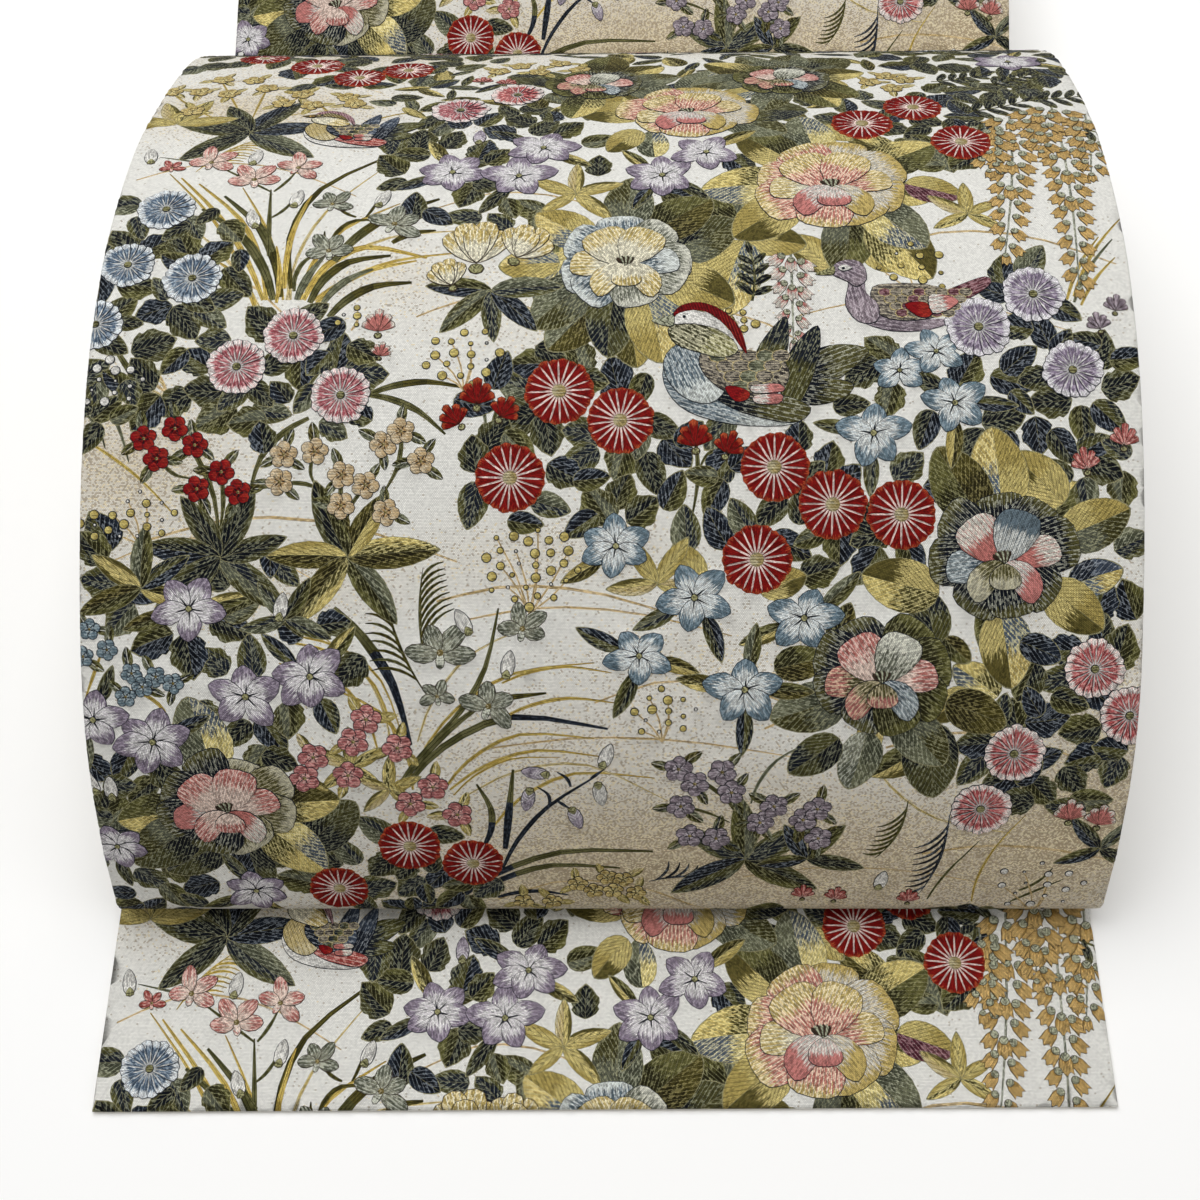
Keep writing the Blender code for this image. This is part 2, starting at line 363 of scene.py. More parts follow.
class Chart:
    """One repeat of the pattern, as shapes in millimetres of flat cloth, drawn in layers."""

    def __init__(self):
        self.layers = {}
        self.dice = random.Random(11)
        self.vary, self.pick = self.dice.uniform, self.dice.choice
        self.taken = np.zeros((int(REPEAT / CELL), int((WIDE + 2 * SPARE) / CELL)), bool)
        self.roots = []

    def draw(self, layer, place, outline, silk, edge=None, shade=(0, 1, 0), lines=PLAIN,
             lift=1.0, band=BAND):
        """Add a shape; its outline is in shares of its length and millimetres across it."""
        low_a, high_a = min(p[0] for p in outline), max(p[0] for p in outline)
        low_b, high_b = min(p[1] for p in outline), max(p[1] for p in outline)
        in_a = 1 - 2 * band / ((high_a - low_a) * place[3])
        in_b = 1 - 2 * band / (high_b - low_b)
        inner = None
        if min(in_a, in_b) > 0.2:
            mid_a, mid_b = (low_a + high_a) / 2, (low_b + high_b) / 2
            inner = spots_of(place, [(mid_a + (a - mid_a) * in_a, mid_b + (b - mid_b) * in_b)
                                     for a, b in outline])
        spots = spots_of(place, outline)
        area = sum(p[0] * q[1] - q[0] * p[1] for p, q in zip(spots, spots[1:] + spots[:1]))
        if area < 0:
            spots.reverse()
            if inner:
                inner.reverse()
        angle = math.radians(place[2])
        # the order that paint takes them apart in
        numbers = (place[0], place[1], math.cos(angle), math.sin(angle), place[3], place[4],
                   *shade, *lines, lift, SILK[silk], SILK[edge] if edge else -1,
                   self.dice.random())
        self.layers.setdefault(layer, []).append((spots, inner, numbers))

    def shapes(self):
        """Every shape, the ones underneath first."""
        return [shape for layer in sorted(self.layers) for shape in self.layers[layer]]

    # ---- which ground is taken
    def cells(self, spots):
        """Row and column of the record for chart places."""
        spots = np.asarray(spots)
        return (np.floor(spots[:, 1] / CELL).astype(int) % self.taken.shape[0],
                np.clip(((spots[:, 0] + SPARE) / CELL).astype(int), 0,
                        self.taken.shape[1] - 1))

    def free(self, spots):
        """Whether nothing has the ground at any of the places."""
        return not self.taken[self.cells(spots)].any()

    def claim(self, outline):
        """Keep the ground within an outline for the shape that has it."""
        ring = np.asarray(outline)
        low, high = ring.min(axis=0), ring.max(axis=0)
        gx, gy = np.meshgrid(np.arange(low[0], high[0], CELL * 0.9),
                             np.arange(low[1], high[1], CELL * 0.9))
        inside = np.zeros(gx.shape, bool)
        for (ax, ay), (bx, by) in zip(ring, np.roll(ring, -1, axis=0)):
            if ay != by:
                inside ^= ((ay > gy) != (by > gy)) & (
                    gx < ax + (gy - ay) * (bx - ax) / (by - ay))
        self.taken[self.cells(np.stack((gx[inside], gy[inside]), axis=1))] = True

    def claim_round(self, x, y, radius):
        """Keep a round of ground."""
        self.claim([(x + radius * math.cos(k * TWELFTH), y + radius * math.sin(k * TWELFTH))
                    for k in range(12)])

    # ---- single shapes
    def petal(self, layer, x, y, angle, length, width, silk, edge=None, base=0.5, tip=0.5,
              bend=0.0, steps=6, wave=0.0, shade=(0, 1, 0), lines=PLAIN, lift=1.0, band=BAND):
        """A whole petal growing from a point."""
        half = width / 2
        ring = [(a, w * half * (1 + wave * (-1) ** k))
                for k, (a, w) in enumerate(taper(steps, base, tip))]
        outline = ring + [(a, -w) for a, w in reversed(ring[1:-1])]
        self.draw(layer, (x, y, angle, length, bend), outline, silk, edge, shade, lines,
                  lift, band)

    def leaf(self, layer, x, y, angle, length, kind, silks, bend=0.0):
        """A leaf of two halves along its midrib, with a thin binding thread round it."""
        share, profile, rows, lean, across = LEAF_KINDS[kind]
        half = length * share / 2
        place = (x, y, angle, length, bend)
        self.roots.append(off(x, y, 0.5 * length, angle))
        whole = [(-0.2 / length + a * (1 + 0.6 / length), w * half + 0.12) for a, w in profile]
        whole += [(a, -w) for a, w in reversed(whole)]
        if kind != "small":
            self.draw(layer, place, whole, "leaf_rim", None, (-1, 0, 0), band=9.0, lift=0.5)
        for side, silk in ((1, silks[0]), (-1, silks[1])):
            rim = [(a, side * w * half) for a, w in profile]
            rib = [(a, side * 0.07) for a, _ in rim[1:-1:2]]
            outline = [rim[0]] + rib + [rim[-1]] + rim[-2:0:-1]
            shade = (-0.25, 0.50, 0.95 / half) if across else (-0.5, 1.9, 0.0)
            lines = (length * rows, 0.0, -rows * lean, 0.35)
            self.draw(layer, place, outline, silk, None, shade, lines, band=9.0)

    def has_room(self, x, y, distance):
        """Whether no leaf or flower has its middle near a place."""
        return all((x - a) ** 2 + ((y - b + REPEAT / 2) % REPEAT - REPEAT / 2) ** 2
                   > distance * distance for a, b in self.roots)

    def disc(self, layer, x, y, radius, silk, edge=None, sides=10, squash=1.0, lift=1.0,
             band=BAND, lines=PLAIN):
        """A round spot."""
        angles = [2 * math.pi * k / sides for k in range(sides)]
        outline = [(0.5 + radius * math.cos(a) / (2 * radius), radius * squash * math.sin(a))
                   for a in angles]
        self.draw(layer, (x - radius, y, 0.0, 2 * radius, 0.0), outline, silk, edge,
                  (0.2, 0.6, 0.0), lines, lift, band)

    def ribbon(self, layer, points, width, silks, ends=(0.35, 0.12), parts=9):
        """A stitched stroke along points, swelling in its middle, its silks one after another."""
        curve = []
        last = len(points) - 1
        for k in range(parts + 1):
            t = last * k / parts
            i = min(int(t), last - 1)
            curve.append(cubic(around(points, i), t - i))
        sides = []
        for k, (x, y) in enumerate(curve):
            ax, ay = curve[max(k - 1, 0)]
            bx, by = curve[min(k + 1, parts)]
            size = math.hypot(bx - ax, by - ay) or 1.0
            t = k / parts
            swell = (ends[0] + (1 - ends[0]) * min(1, 2.5 * t)) * (
                ends[1] + (1 - ends[1]) * min(1, 2.2 * (1 - t)))
            half = width / 2 * swell
            nx, ny = -(by - ay) / size * half, (bx - ax) / size * half
            sides.append(((x + nx, y + ny), (x - nx, y - ny)))
        count = max(4, len(silks))
        for s in range(count):
            first, stop = parts * s // count, parts * (s + 1) // count
            if first == stop:
                continue
            ring = [p[0] for p in sides[first:stop + 1]] + [
                p[1] for p in reversed(sides[first:stop + 1])]
            (x0, y0), (x1, y1) = curve[first], curve[stop]
            ax, ay = curve[max(first - 1, 0)]
            bx, by = curve[first + 1]
            size = math.hypot(bx - ax, by - ay) or 1.0
            dx, dy = (bx - ax) / size, (by - ay) / size
            span = max((x1 - x0) * dx + (y1 - y0) * dy, 0.4)
            bend = (-(x1 - x0) * dy + (y1 - y0) * dx) / span
            self.draw(layer, (x0, y0, math.degrees(math.atan2(dy, dx)), span, bend),
                      in_shares(ring, x0, y0, dx, dy, span, bend),
                      silks[s * len(silks) // count], None, (0, 1, 0), (0, 1.05, 0, 0), 0.9, 9.0)


# width share, half outline, rows of stitches along a millimetre, their lean, shaded across
LEAF_KINDS = {
    "lobed": (0.84, LOBED, 0.62, 1.25, True),
    "oval": (0.66, taper(8, 0.50, 0.80), 0.62, 1.30, True),
    "lance": (0.35, taper(8, 0.70, 0.85), 0.34, 2.9, True),
    "broad": (0.68, taper(9, 0.50, 0.66), 0.62, 1.45, False),
    "small": (0.52, taper(6, 0.55, 0.75), 0.66, 1.5, True),
}
LEAF_SILKS = {
    # silks of the two halves of a leaf, to pick from
    "dark": "navy_olive+navy_olive navy_olive+navy_olive navy_olive+olive navy+navy_olive "
            "navy+olive slate_olive+slate_olive olive_navy+navy sage+slate_olive navy+navy "
            "olive+sage_olive",
    "mixed": "gold_olive+olive navy_olive+navy_olive olive+moss navy_olive+olive sage+olive "
             "moss+gold slate_olive+sage_olive olive_navy+navy olive_gold+moss navy+navy_olive "
             "gold_olive+gold_olive",
    "green": "olive+sage_olive sage+olive moss+olive slate_olive+olive",
    "gold": "gold_olive+gold gold+gold olive_gold+gold gold_pale+gold_olive",
    "broad": "gold_olive+olive navy_olive+sage_olive olive+moss sage+gold_slate slate_gold+gold "
             "sage_olive+sage olive_gold+olive gold_slate+olive_gold moss+olive_gold "
             "navy_olive+olive_navy gold_olive+gold",
}
LEAF_SILKS = {kind: [pair.split("+") for pair in pairs.split()]
              for kind, pairs in LEAF_SILKS.items()}

# ---------------------------------------------------------------- motifs
def rosette(chart, x, y, radius):
    """A red chrysanthemum: narrow petals parted by pale rays round a small cream eye."""
    petals = 20
    turn = chart.vary(0, 18)
    width = 2 * radius * math.sin(math.pi / petals) * 1.12
    for k in range(petals):
        angle = turn + 360 * k / petals
        out = radius * chart.vary(0.97, 1.04)
        chart.petal(6, x, y, angle, out, width, "red", base=1.0, tip=0.22, steps=7,
                    shade=(-1.9, 2.6, 0), lines=(0, 1.6, 0, 0), lift=1.2, band=0.3)
    for k in range(petals):
        angle = turn + 360 * (k + 0.5) / petals
        chart.petal(6, x, y, angle, radius * chart.vary(0.92, 0.99), 0.52, "ray",
                    base=0.10, tip=0.16, steps=4, shade=(-0.4, 1.0, 0), lift=1.0,
                    bend=chart.vary(-0.03, 0.03))
    chart.disc(6, x, y, radius * 0.21, "cream", sides=10, lift=1.3, lines=(0, 1.2, 0, 0))


def rimmed_mum(chart, x, y, radius, silk):
    """A chrysanthemum of outlined petals, coloured from its heart to their white tips."""
    petals = 18
    turn = chart.vary(0, 19)
    width = 2 * radius * math.sin(math.pi / petals)
    for k in range(petals):
        angle = turn + 360 * k / petals
        out = radius * chart.vary(0.95, 1.05)
        chart.petal(6, x, y, angle, out, width * 1.12, silk, "ink", base=1.0, tip=0.20,
                    steps=6, shade=(-1.35, 2.45, 0), lines=(0, 0.8, 0, 0), lift=1.2, band=0.20)
    for k in range(petals):
        angle = turn + 360 * (k + 0.5) / petals
        chart.petal(6, x, y, angle, radius * chart.vary(0.60, 0.78), 0.40, "mum_tip",
                    base=0.2, tip=0.3, steps=3, lift=1.0)
    chart.disc(6, x, y, radius * 0.15, "eye", "ink", sides=10, lift=1.3, band=0.2,
               lines=(0, 1.2, 0, 0))


def upper_first(petals, turn):
    """Petals of a ring in the order to draw them, so that the lower ones lie on top."""
    return sorted(range(petals), key=lambda k: -math.sin(math.radians(turn + 360 * k / petals)))


def seen_at(degrees, squash):
    """How long and in which direction a petal looks in a flower seen at a slant."""
    angle = math.radians(degrees)
    ax, ay = math.cos(angle), math.sin(angle) * squash
    return math.hypot(ax, ay), math.degrees(math.atan2(ay, ax))


def bell(chart, x, y, radius, turn, silk, squash=0.84):
    """An open bellflower of pointed petals, white towards the throat."""
    petals = chart.pick((5, 5, 6))
    for k in upper_first(petals, turn):
        share, heading = seen_at(turn + 360 * k / petals + chart.vary(-9, 9), squash)
        reach = radius * share * chart.vary(0.92, 1.08)
        wide = radius * chart.vary(0.62, 0.70)
        bend = chart.vary(-0.12, 0.12)
        chart.petal(6, x, y, heading, reach, wide, silk, "ink", base=0.84, tip=0.78, bend=bend,
                    steps=8, wave=0.03, shade=(-0.42, 1.35, 0.09), lines=(0, 1.3, 0, 1.0),
                    lift=1.1, band=0.20)
        chart.petal(6, x, y, heading + chart.vary(-8, 8), reach * 0.42, 0.55, "ink",
                    base=0.3, tip=1.0, bend=bend, steps=3, lift=0.9)
    chart.disc(6, x, y, radius * 0.10, "eye", "ink", sides=8, lift=1.2, band=0.25)


def plum(chart, x, y, radius, silk):
    """A small blossom of round petals with a line of stamens."""
    turn = chart.vary(0, 72)
    for k in range(5):
        chart.disc(5, *off(x, y, radius * 0.56, turn + 360 * k / 5), radius * 0.50, silk, "ink",
                   sides=9, lift=1.0, band=0.22, lines=(0, 1.1, 0, 0))
    chart.disc(5, x, y, radius * 0.40, silk, sides=8, lift=1.0)
    for k in range(5):
        chart.petal(5, x, y, turn + 360 * (k + 0.5) / 5, radius * 0.55, 0.40, "ink", base=0.4,
                    tip=1.0, steps=2)
    chart.disc(5, x, y, radius * 0.14, "cream", sides=6)


PEONIES = {
    # silks of the outer petals, of the two upright petals, the side ones and the front ones
    "yellow_blue": (("blue_rim", "sage_rim"), ("yellow", "yellow"), ("yellow", "blue_rim"),
                    ("yellow", "yellow")),
    "yellow_coral": (("yellow_white", "yellow_pink"), ("yellow_pink", "yellow_pink"),
                     ("yellow", "yellow_pink"), ("white_pink", "yellow_white")),
    "white_navy": (("navy_rim", "navy_rim"), ("pink_white", "blue_pale"),
                   ("blue_grey", "pink_white"), ("olive_rim", "white_pink")),
    "coral_olive": (("navy_rim", "olive"), ("coral", "sage_rim"), ("olive_coral", "coral"),
                    ("olive_coral", "blue_grey")),
    "coral_white": (("olive_rim", "navy_rim"), ("coral", "coral"), ("white_pink", "coral"),
                    ("coral", "pink_white")),
}


def peony(chart, x, y, radius, kind, turn=0, squash=0.84):
    """A large open peony: a ring of petals behind, upright ones, a striped heart, a front."""
    outer, upright, beside, front = PEONIES[kind]
    fan = (0, 1.35, 0, 0.9)
    for place, k in enumerate(upper_first(8, turn)):
        share, heading = seen_at(turn + 45 * k + chart.vary(-8, 8), squash)
        out = radius * share * chart.vary(0.94, 1.08)
        wide = radius * chart.vary(0.66, 0.80)
        chart.petal(6, x, y, heading, out, wide, outer[place % 2],
                    "ink", base=0.75, tip=0.34, steps=10, wave=0.015,
                    bend=chart.vary(-0.12, 0.12), shade=(-1.5, 2.4, 0), lines=fan,
                    lift=1.2, band=0.20)
    for degrees, reach, wide, silk, lean in (
            (168, 0.78, 0.46, beside[0], 0.12), (12, 0.76, 0.46, beside[1], -0.12),
            (118, 0.76, 0.66, upright[0], 0.06), (62, 0.74, 0.64, upright[1], -0.06)):
        chart.petal(6, x, y - radius * 0.10, degrees + turn * 0.2, radius * reach,
                    radius * wide * chart.vary(0.94, 1.08), silk, "ink", base=0.72,
                    tip=0.34, steps=10, wave=0.015, bend=lean, shade=(-0.55, 1.75, 0),
                    lines=fan, lift=1.3, band=0.20)
    for k in range(7):
        chart.petal(6, x, y - radius * 0.16, 60 + 10 * k + turn * 0.2, radius * 0.24,
                    radius * 0.06, ("umber", "sage")[k % 2], base=0.9, tip=0.2, steps=4,
                    lift=1.3)
    for degrees, reach, wide, silk, lean in ((212, 0.62, 0.42, front[0], 0.22),
                                             (328, 0.64, 0.42, front[1], -0.22),
                                             (272, 0.36, 0.44, front[0], 0.05)):
        chart.petal(6, x, y - radius * 0.10, degrees, radius * reach, radius * wide, silk,
                    "ink", base=0.62, tip=0.36, steps=9, wave=0.015, bend=lean,
                    shade=(-0.45, 1.7, 0), lines=fan, lift=1.4, band=0.20)


def bud(chart, x, y, angle, length, silk):
    """A closed bud with its calyx."""
    chart.petal(5, x, y, angle, length, length * 0.5, silk, "ink", base=0.6, tip=0.7, steps=6,
                shade=(-0.4, 1.6, 0), band=0.24)
    chart.petal(5, x, y, angle, length * 0.35, length * 0.32, "olive", "umber", base=0.4,
                tip=0.8, steps=4, band=0.2)


def cup_flower(chart, x, y, angle, size):
    """A half-open flower seen from the side, with its calyx."""
    for side, share in ((-36, 0.88), (36, 0.88), (-12, 1.0), (14, 0.98), (0, 0.8)):
        chart.petal(6, x, y, angle + side, size * share, size * 0.50, "yellow", "umber",
                    base=0.75, tip=0.36, steps=7, shade=(-0.5, 1.7, 0), lines=(0, 0.9, 0, 1.0),
                    lift=1.1, band=0.26)
    chart.petal(6, x, y, angle + 180, size * 0.25, size * 0.3, "olive", "umber", steps=4)


def thistle(chart, x, y, angle, size, silk):
    """A tuft of short narrow petals over a green cup."""
    for side in (-56, 56, -28, 28, 0):
        chart.petal(5, x, y, angle + side, size * (1 - abs(side) / 200), size * 0.36, silk,
                    "umber", base=1.1, tip=0.22, steps=5, shade=(-1.2, 2.2, 0),
                    lines=(0, 1.0, 0, 0), band=0.2)
    chart.petal(5, x, y, angle + 180, size * 0.30, size * 0.34, "olive", "umber", steps=4)


def orchid(chart, x, y, angle, size, silk):
    """A small five-petalled spray flower, seen a little from the side."""
    for side in (-104, -38, 30, 98):
        chart.petal(5, x, y, angle + side, size * chart.vary(0.85, 1.1), size * 0.62,
                    silk, "umber", base=0.75, tip=0.65, bend=chart.vary(-0.2, 0.2),
                    steps=6, lines=(0, 1.0, 0, 0), band=0.22)
    chart.petal(5, x, y, angle + 180, size * 0.5, size * 0.3, silk, "umber", steps=4,
                band=0.2)
    chart.disc(5, x, y, size * 0.11, "cream", sides=6)


def berries(chart, x, y, spread, count, silk):
    """A loose spray of round outlined berries on forked stalks."""
    root = (x, y - spread * 0.9)
    for k in range(count):
        out = spread * math.sqrt((k + 0.5) / count)
        way = math.radians(k * 137.5 + 20)
        bx, by = x + out * math.cos(way), y + 0.8 * out * math.sin(way)
        if k % 3 == 0:
            chart.ribbon(1, (root, ((root[0] + bx) / 2 + 1, (root[1] + by) / 2), (bx, by)),
                         0.55, ("gold_wire",), parts=4, ends=(1, 0.8))
        size = chart.pick((0.65, 0.9, 1.15, 1.4, 1.6))
        if chart.free([(bx, by)]):
            chart.disc(4, bx, by, size, silk if size > 0.8 else "white", "ink", sides=9,
                       band=0.30)


def sweep(root, angle, turn, length, steps):
    """Points of an arching stroke that starts at an angle and turns as it goes."""
    points = [root]
    for k in range(steps):
        points.append(off(*points[-1], length / steps,
                          angle + turn * ((k + 0.5) / steps) ** 1.3))
    return points


def bowed(x, y, tip_x, tip_y, bow):
    """Points of a blade that leaves its root steeply and bends over towards its tip."""
    dx, dy = tip_x - x, tip_y - y
    points = []
    for t in (0.0, 0.25, 0.6, 1.0):
        aside = 4 * bow * t * (1 - t)
        points.append((x + dx * t - dy * aside, y + dy * t + dx * aside))
    return points


def comb(chart, root, angle, turn, length, silks, side=1, count=9, reach=0.55):
    """A feathery frond: an arched stalk with fine curved leaflets along one side."""
    points = sweep(root, angle, turn, length, 8)
    chart.ribbon(2, points, 1.0, (silks[0],), parts=8)
    for k in range(count):
        t = 0.12 + 0.84 * k / count        # none at the foot of the stalk
        spot, heading = partway(points, t)
        chart.ribbon(2, sweep(spot, heading + side * 22, side * 58,
                              length * reach * (1 - 0.55 * t), 4),
                     1.0, (silks[k % len(silks)],), parts=5, ends=(0.6, 0.3))


def star_leaves(chart, x, y, size, kind, turn=0, count=5, spread=205):
    """Lance leaves radiating from one joint."""
    for k in range(count):
        angle = 90 + turn + spread * (k / (count - 1) - 0.5)
        chart.leaf(4, x, y, angle, size * chart.vary(0.85, 1.1), "lance",
                   chart.pick(LEAF_SILKS[kind]), chart.vary(-0.12, 0.12))


def nest(chart, x, y, radius, kind, silks, count, length, turn=None, layer=3):
    """Leaves spread out from under a flower."""
    turn = chart.vary(0, 360) if turn is None else turn
    for k in range(count):
        angle = turn + 360 * k / count + chart.vary(-9, 9)
        start = radius * 0.55
        size = (radius - start) + length * chart.vary(0.70, 1.0)
        if chart.free([off(x, y, start + size * 0.75, angle)]) and chart.has_room(
                *off(x, y, start + size * 0.5, angle), size * 0.34):
            chart.leaf(layer, *off(x, y, start, angle), angle + chart.vary(-10, 10), size, kind,
                       chart.pick(LEAF_SILKS[silks]), chart.vary(-0.12, 0.12))


def thicket(chart, x, y, radius, length, silks, tries):
    """Leaves strewn over the ground, no two with their middles close together."""
    kinds = {"dark": ("lobed", "oval", "oval"), "mixed": ("lance", "oval", "lance"),
             "broad": ("broad", "broad", "oval")}[silks]
    for k in range(tries):
        reach, way = radius * math.sqrt(chart.dice.random()), chart.vary(0, TURN)
        px, py = x + reach * math.cos(way), y + reach * math.sin(way)
        size = length * (1.1 - 0.35 * k / tries)
        if -6 < px < WIDE + 6 and chart.free([(px, py)]) and chart.has_room(
                px, py, size * 0.60):
            angle = chart.vary(0, 360)
            chart.leaf(2, *off(px, py, -size * 0.5, angle), angle, size, chart.pick(kinds),
                       chart.pick(LEAF_SILKS[silks]), chart.vary(-0.15, 0.15))


def feather_leaf(chart, x, y, angle, length):
    """A compound leaf: pairs of leaflets along a curved stalk."""
    points = sweep((x, y), angle, 24, length, 6)
    chart.ribbon(4, points, 0.8, ("olive",), parts=6, ends=(1, 0.5))
    pairs = 4
    for k in range(pairs + 1):
        t = min(0.98, 0.12 + 0.86 * k / pairs)
        spot, way = partway(points, t)
        for side in ((-1, 1) if k < pairs else (0,)):
            heading = way + side * (52 - 14 * t)
            size = length * (0.42 - 0.10 * t)
            chart.petal(4, *spot, heading, size, size * 0.40, "navy_olive", "olive", base=0.7,
                        tip=0.6, steps=7, shade=(-0.5, 1.35, 0), lines=(0, 0.9, 0, 0),
                        bend=side * 0.10, band=0.25)
            for reach in (0.3, 0.65):
                chart.claim_round(*off(*spot, size * reach, heading), size * 0.2)


FLORET = ((0.0, 0.16), (0.18, 0.62), (0.45, 0.92), (0.78, 0.94), (1.0, 1.0), (0.88, 0.56),
          (0.94, 0.36), (1.08, 0.10))


def floret(chart, x, y, angle, size, silk):
    """A small bell with three points and a green cap."""
    half = size * 0.36
    ring = [(a, b * half) for a, b in FLORET]
    chart.draw(5, (x, y, angle, size, 0.0), ring + [(a, -b) for a, b in reversed(ring)], silk,
               "umber", (0.1, 0.9, 0), (0, 1.3, 0, 0.4), 1.1, 0.20)
    chart.petal(5, x, y, angle, size * 0.42, size * 0.46, "sage", "umber", base=0.45, tip=0.5,
                steps=5, band=0.18)
    chart.claim_round(*off(x, y, size * 0.55, angle), half)


def wisteria(chart, top, tip, silk="ochre", reach=6.5, size=7.6):
    """A hanging raceme of small bells, wider at its top."""
    (x, y), length = top, top[1] - tip[1]
    lean = (tip[0] - x) / length
    points = ((x, y + 3), (x + lean * length * 0.4, y - length / 2), tip)
    chart.ribbon(2, points, 0.8, ("veil",), parts=5, ends=(1, 0.6))
    rows = round(length / (size * 0.82))
    for k in range(rows):
        t = k / rows
        cx, cy = x + lean * length * t, y - length * t
        out = reach * (1 - t) ** 0.7 + 0.8
        for side in (-1, 1):
            floret(chart, cx + side * out * 0.42, cy - (side > 0) * size * 0.35,
                   -90 + side * (46 - 14 * t), size * (1 - 0.28 * t), silk)
        if k % 2 == 0 and t < 0.6:
            floret(chart, cx, cy - size * 0.2, -92, size * 0.9, silk)
    floret(chart, x + lean * length, y - length, -90, size * 0.62, silk)


# Swimming ducks, beak to the front, as rounded shapes in hundredths of the body's length:
# layer, part, where its threads start and end, its outline
DRAKE = (
    (5, "tail", (-14, -6), (-48, 6), ((-12, 0), (-28, 10), (-42, 12), (-52, 9), (-47, 2),
       (-34, -8), (-18, -12))),
    (5, "tail", (-16, -10), (-42, -14), ((-14, -6), (-30, -5), (-44, -8), (-40, -15), (-26, -19),
       (-14, -16))),
    (6, "under", (40, -8), (-20, -24), ((46, 0), (44, -12), (34, -22), (14, -28), (-10, -29),
       (-20, -25), (0, -20), (20, -12), (36, 2))),
    (6, "sail", (-2, -2), (-12, 22), ((2, 4), (0, 12), (-7, 22), (-13, 27), (-14, 18), (-13, 8),
       (-8, 0))),
    (6, "sail", (-12, -14), (-26, 18), ((-9, -6), (-13, 6), (-20, 16), (-28, 22), (-29, 12),
       (-26, -2), (-20, -16), (-12, -22))),
    (6, "wing", (24, -14), (-20, -24), ((26, -10), (14, -20), (-4, -26), (-18, -27), (-24, -20),
       (-12, -14), (8, -10))),
    (6, "breast", (34, 6), (22, -18), ((46, 4), (44, -6), (36, -15), (24, -18), (16, -10), (20, 4),
       (30, 12), (40, 12))),
    (6, "body", (26, 4), (-14, -8), ((28, 8), (16, 10), (2, 8), (-10, 5), (-14, -4), (-8, -13),
       (8, -15), (20, -10), (28, -1))),
    (8, "bar", (16, -12), (4, -15), ((17, -10), (12, -9), (5, -12), (6, -16), (12, -17))),
    (8, "bar_too", (3, -11), (-9, -12), ((4, -9), (-9, -8), (-11, -12), (3, -13))),
    (8, "bar_too", (3, -15), (-9, -16), ((3, -14), (-10, -13), (-9, -18), (2, -18))),
    (8, "ruff", (38, 22), (14, 8), ((44, 20), (38, 24), (26, 23), (16, 18), (10, 9), (18, 5),
       (30, 8), (40, 12))),
    (9, "face", (40, 26), (12, 16), ((42, 23), (38, 30), (28, 30), (18, 24), (12, 14), (20, 20),
       (32, 23))),
    (9, "crest", (40, 30), (8, 8), ((42, 27), (38, 33), (28, 35), (17, 30), (9, 20), (6, 7),
       (10, 12), (16, 22), (26, 30), (36, 30))),
    (9, "beak", (42, 25), (52, 24), ((41, 28), (46, 27), (52, 25), (46, 22), (41, 22))),
)
HEN = (
    (5, "tail", (-22, 0), (-52, 14), ((-20, 4), (-34, 12), (-50, 18), (-54, 13), (-44, 4),
       (-26, -4))),
    (5, "tip", (-20, -4), (-48, -4), ((-18, 0), (-34, 2), (-50, -1), (-48, -7), (-32, -11),
       (-18, -10))),
    (6, "under", (30, -10), (-30, -18), ((38, 4), (38, -8), (30, -17), (12, -23), (-12, -22),
       (-30, -14), (-10, -14), (14, -12), (26, 2))),
    (6, "body", (26, 4), (-30, 0), ((24, 10), (8, 13), (-12, 12), (-30, 6), (-36, 0), (-26, -9),
       (-6, -15), (14, -14), (24, -6))),
    (8, "bar", (6, -8), (-16, -6), ((4, -3), (-4, -12), (-12, -13), (-15, -6), (-8, -1))),
    (8, "bar_too", (-14, -4), (-30, -1), ((-12, 3), (-14, -10), (-24, -8), (-32, -1), (-22, 4))),
    (8, "neck", (34, 14), (28, -10), ((40, 10), (42, -4), (34, -16), (22, -16), (20, -4), (28, 6),
       (29, 16), (38, 20))),
    (9, "neck", (44, 24), (28, 14), ((50, 20), (48, 28), (38, 32), (29, 28), (27, 16), (34, 10),
       (40, 14))),
    (9, "face", (46, 24), (36, 26), ((46, 25), (42, 28), (36, 25), (42, 22))),
    (9, "beak", (49, 24), (60, 19), ((48, 27), (54, 24), (61, 20), (54, 19), (48, 20))),
)


def rounded(points, steps=3):
    """A closed smooth curve through points."""
    curve, count = [], len(points)
    for i in range(count):
        p = [points[(i + k - 1) % count] for k in range(4)]
        curve += [cubic(p, k / steps) for k in range(steps)]
    return curve


